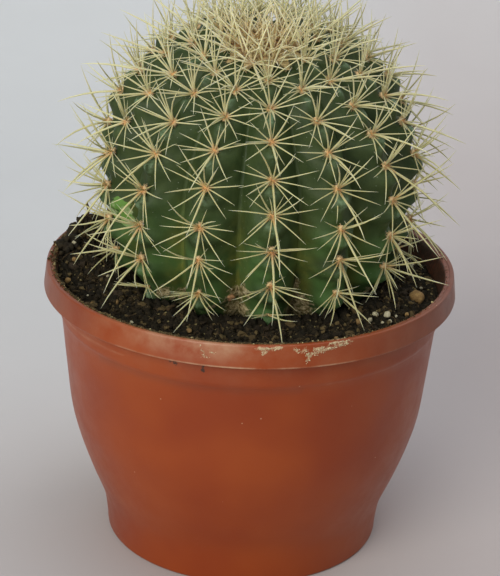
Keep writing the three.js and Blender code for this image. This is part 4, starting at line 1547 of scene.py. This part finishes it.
def make_fibres(material):
    """Thin dead roots that lie on the soil."""
    chance = np.random.default_rng(9)
    points, edges, thickness = [], [], []

    def lay(line, least, most):
        first = len(points)
        points.extend(line)
        thickness.extend(chance.uniform(least, most) * MM for _ in line)
        edges.extend((first + j, first + j + 1) for j in range(len(line) - 1))

    for _ in range(ROOT_FIBRES):
        angle = math.radians(chance.uniform(0, 360))
        radius = chance.uniform(50, 66)
        x, y = radius * math.cos(angle), radius * math.sin(angle)
        heading = chance.uniform(0, 2 * math.pi)
        step = chance.uniform(0.2, 0.6)
        line = []
        for j in range(8):
            heading += chance.normal(0, 0.14)
            x += math.cos(heading) * step
            y += math.sin(heading) * step
            if math.hypot(x, y) < 67:
                line.append((x, y, soil_height(x, y) + 0.3 + 0.8 * math.sin(j / 7 * math.pi)))
        lay(line, 0.06, 0.15)
    for line, least, most in DRY_BITS:
        lay(line, least, most)
    piece = mesh_piece("soil_fibres", points, edges=edges, thickness=thickness, shade=[0.5] * len(points))
    return thicken(piece, material, "potting_soil")


# Stage, lights and camera

def make_stage(material):
    """A pale floor that sweeps up into the backdrop."""
    half = 2.2
    start, sweep, top = 0.35, 0.6, 2.4
    profile = [(-1.8, 0.0), (start, 0.0)]
    for i in range(1, 17):
        angle = i / 16 * math.pi / 2
        profile.append((start + sweep * math.sin(angle), sweep * (1 - math.cos(angle))))
    profile.append((start + sweep, top))
    points = [(x / MM, y / MM, z / MM) for y, z in profile for x in (-half, half)]
    faces = [(2 * i, 2 * i + 1, 2 * i + 3, 2 * i + 2) for i in range(len(profile) - 1)]
    floor = mesh_piece("floor_sweep", points, faces)
    floor.data.materials.append(material)
    floor.data.polygons.foreach_set("use_smooth", [True] * len(faces))


def area_light(name, place, aim, size, power, colour):
    light = bpy.data.lights.new(name, "AREA")
    light.shape = "DISK"
    light.size = size
    light.energy = power
    light.color = hex_colour(colour)[:3]
    lamp = bpy.data.objects.new(name, light)
    lamp.location = place
    lamp.rotation_euler = (Vector(aim) - Vector(place)).to_track_quat("-Z", "Y").to_euler()
    bpy.context.scene.collection.objects.link(lamp)


def make_lights():
    aim = (0, 0, 0.12)
    area_light("window_left", (-0.66, -1.22, 0.76), aim, 1.15, 16.5, "#fff9ee")
    area_light("sky_above", (0.1, 0.0, 1.6), aim, 1.6, 9, "#f4f7ff")
    area_light("back_right", (0.95, 0.75, 0.95), (0.2, 0.05, 0), 0.9, 3.4, "#fff6f0")
    world = bpy.data.worlds.new("room")
    world.use_nodes = True
    room = world.node_tree.nodes["Background"]
    room.inputs["Color"].default_value = hex_colour("#dfe3e8")
    room.inputs["Strength"].default_value = 0.34
    bpy.context.scene.world = world


def make_camera():
    """The photograph's camera: its axis is turned so that the rim's centre lands on its pixel."""
    e = CAMERA_ELEVATION
    centre = Vector((0, -CAMERA_DISTANCE * math.cos(e), POT_HEIGHT + CAMERA_DISTANCE * math.sin(e)))
    u = (RIM_CENTRE_PIXEL[0] - PHOTO_WIDTH / 2) / FOCAL_PIXELS
    v = (RIM_CENTRE_PIXEL[1] - PHOTO_HEIGHT / 2) / FOCAL_PIXELS
    c, s = math.cos(CAMERA_ROLL), math.sin(CAMERA_ROLL)
    right_share, down_share = u * c + v * s, -u * s + v * c
    pitch = e - math.atan(down_share)
    yaw = math.atan2(right_share, math.cos(pitch))
    ahead = Vector((-math.sin(yaw) * math.cos(pitch), math.cos(yaw) * math.cos(pitch), -math.sin(pitch)))
    right = ahead.cross(Vector((0, 0, 1))).normalized()
    down = ahead.cross(right)
    camera_right = right * c - down * s
    camera_up = -(right * s + down * c)
    camera = bpy.data.cameras.new("camera")
    camera.sensor_fit = "VERTICAL"
    camera.sensor_height = 24
    camera.lens = camera.sensor_height * FOCAL_PIXELS / PHOTO_HEIGHT
    rig = bpy.data.objects.new("camera", camera)
    turn = Matrix((camera_right, camera_up, -ahead)).transposed().to_4x4()
    rig.matrix_world = Matrix.Translation(centre * MM) @ turn
    bpy.context.scene.collection.objects.link(rig)
    bpy.context.scene.camera = rig


make_camera()
make_lights()
make_stage(backdrop_material())
bpy.context.scene.view_settings.view_transform = "Standard"

skin = skin_material()
spine = spine_material("dry_straw_spine", "#c7985f", "#d1cf9b", "#dfdfba", "#a89a60", 0.35)
young_spine = spine_material("young_crown_spine", "#b58852", "#e0daa6", "#ece8c0", "#b5894f", 0.85)
felt = felt_material("areole_felt_wool", "#e6ca98", "#d39d62")
wool = felt_material("crown_wool_tan", "#d0bd88", "#a3763f")
peat = soil_material("moist_peat", "#17140d", "#2f291b", "#423724", "#625436")
lump = soil_material("peat_lump", "#15120c", "#2b2418", "#3b3124", "#5c4e33")
fines = soil_material("peat_fines", "#1e1b12", "#3d3523", "#5b4d31", "#8b7f56")
grit = soil_material("dry_peat_grit", "#30281a", "#665637", "#948256", "#c2b585")
root_fibre = soil_material("dead_root_fibre", "#33271a", "#665337", "#7a6543", "#7a6543")

make_body(skin)
make_pads(felt)
make_spines(spine)
make_wool(wool)
make_young_spines(young_spine)
make_pot(pot_material())
make_soil(peat, lump, fines)
grains_on_soil("perlite", PERLITE, stone_material("white_perlite", "#a89f7c", "#dcd7b8", 0.8), 41, 0.5)
grains_on_soil("tan_pebbles", TAN_GRAINS, stone_material("tan_grit", "#75582f", "#a98a55", 1.2), 42)
grains_on_soil("peat_clods", clods(), peat, 43, 0.6)
crust_chance = np.random.default_rng(5)
make_rim_grit(crust_chance, grit)
make_lime_crust(crust_chance, stone_material("dried_lime", "#c4b488", "#e6dcba", 0.5))
make_remnant(stone_material("dry_plant_remnant", "#a8764a", "#e0b285", 0.9))
make_fibres(root_fibre)

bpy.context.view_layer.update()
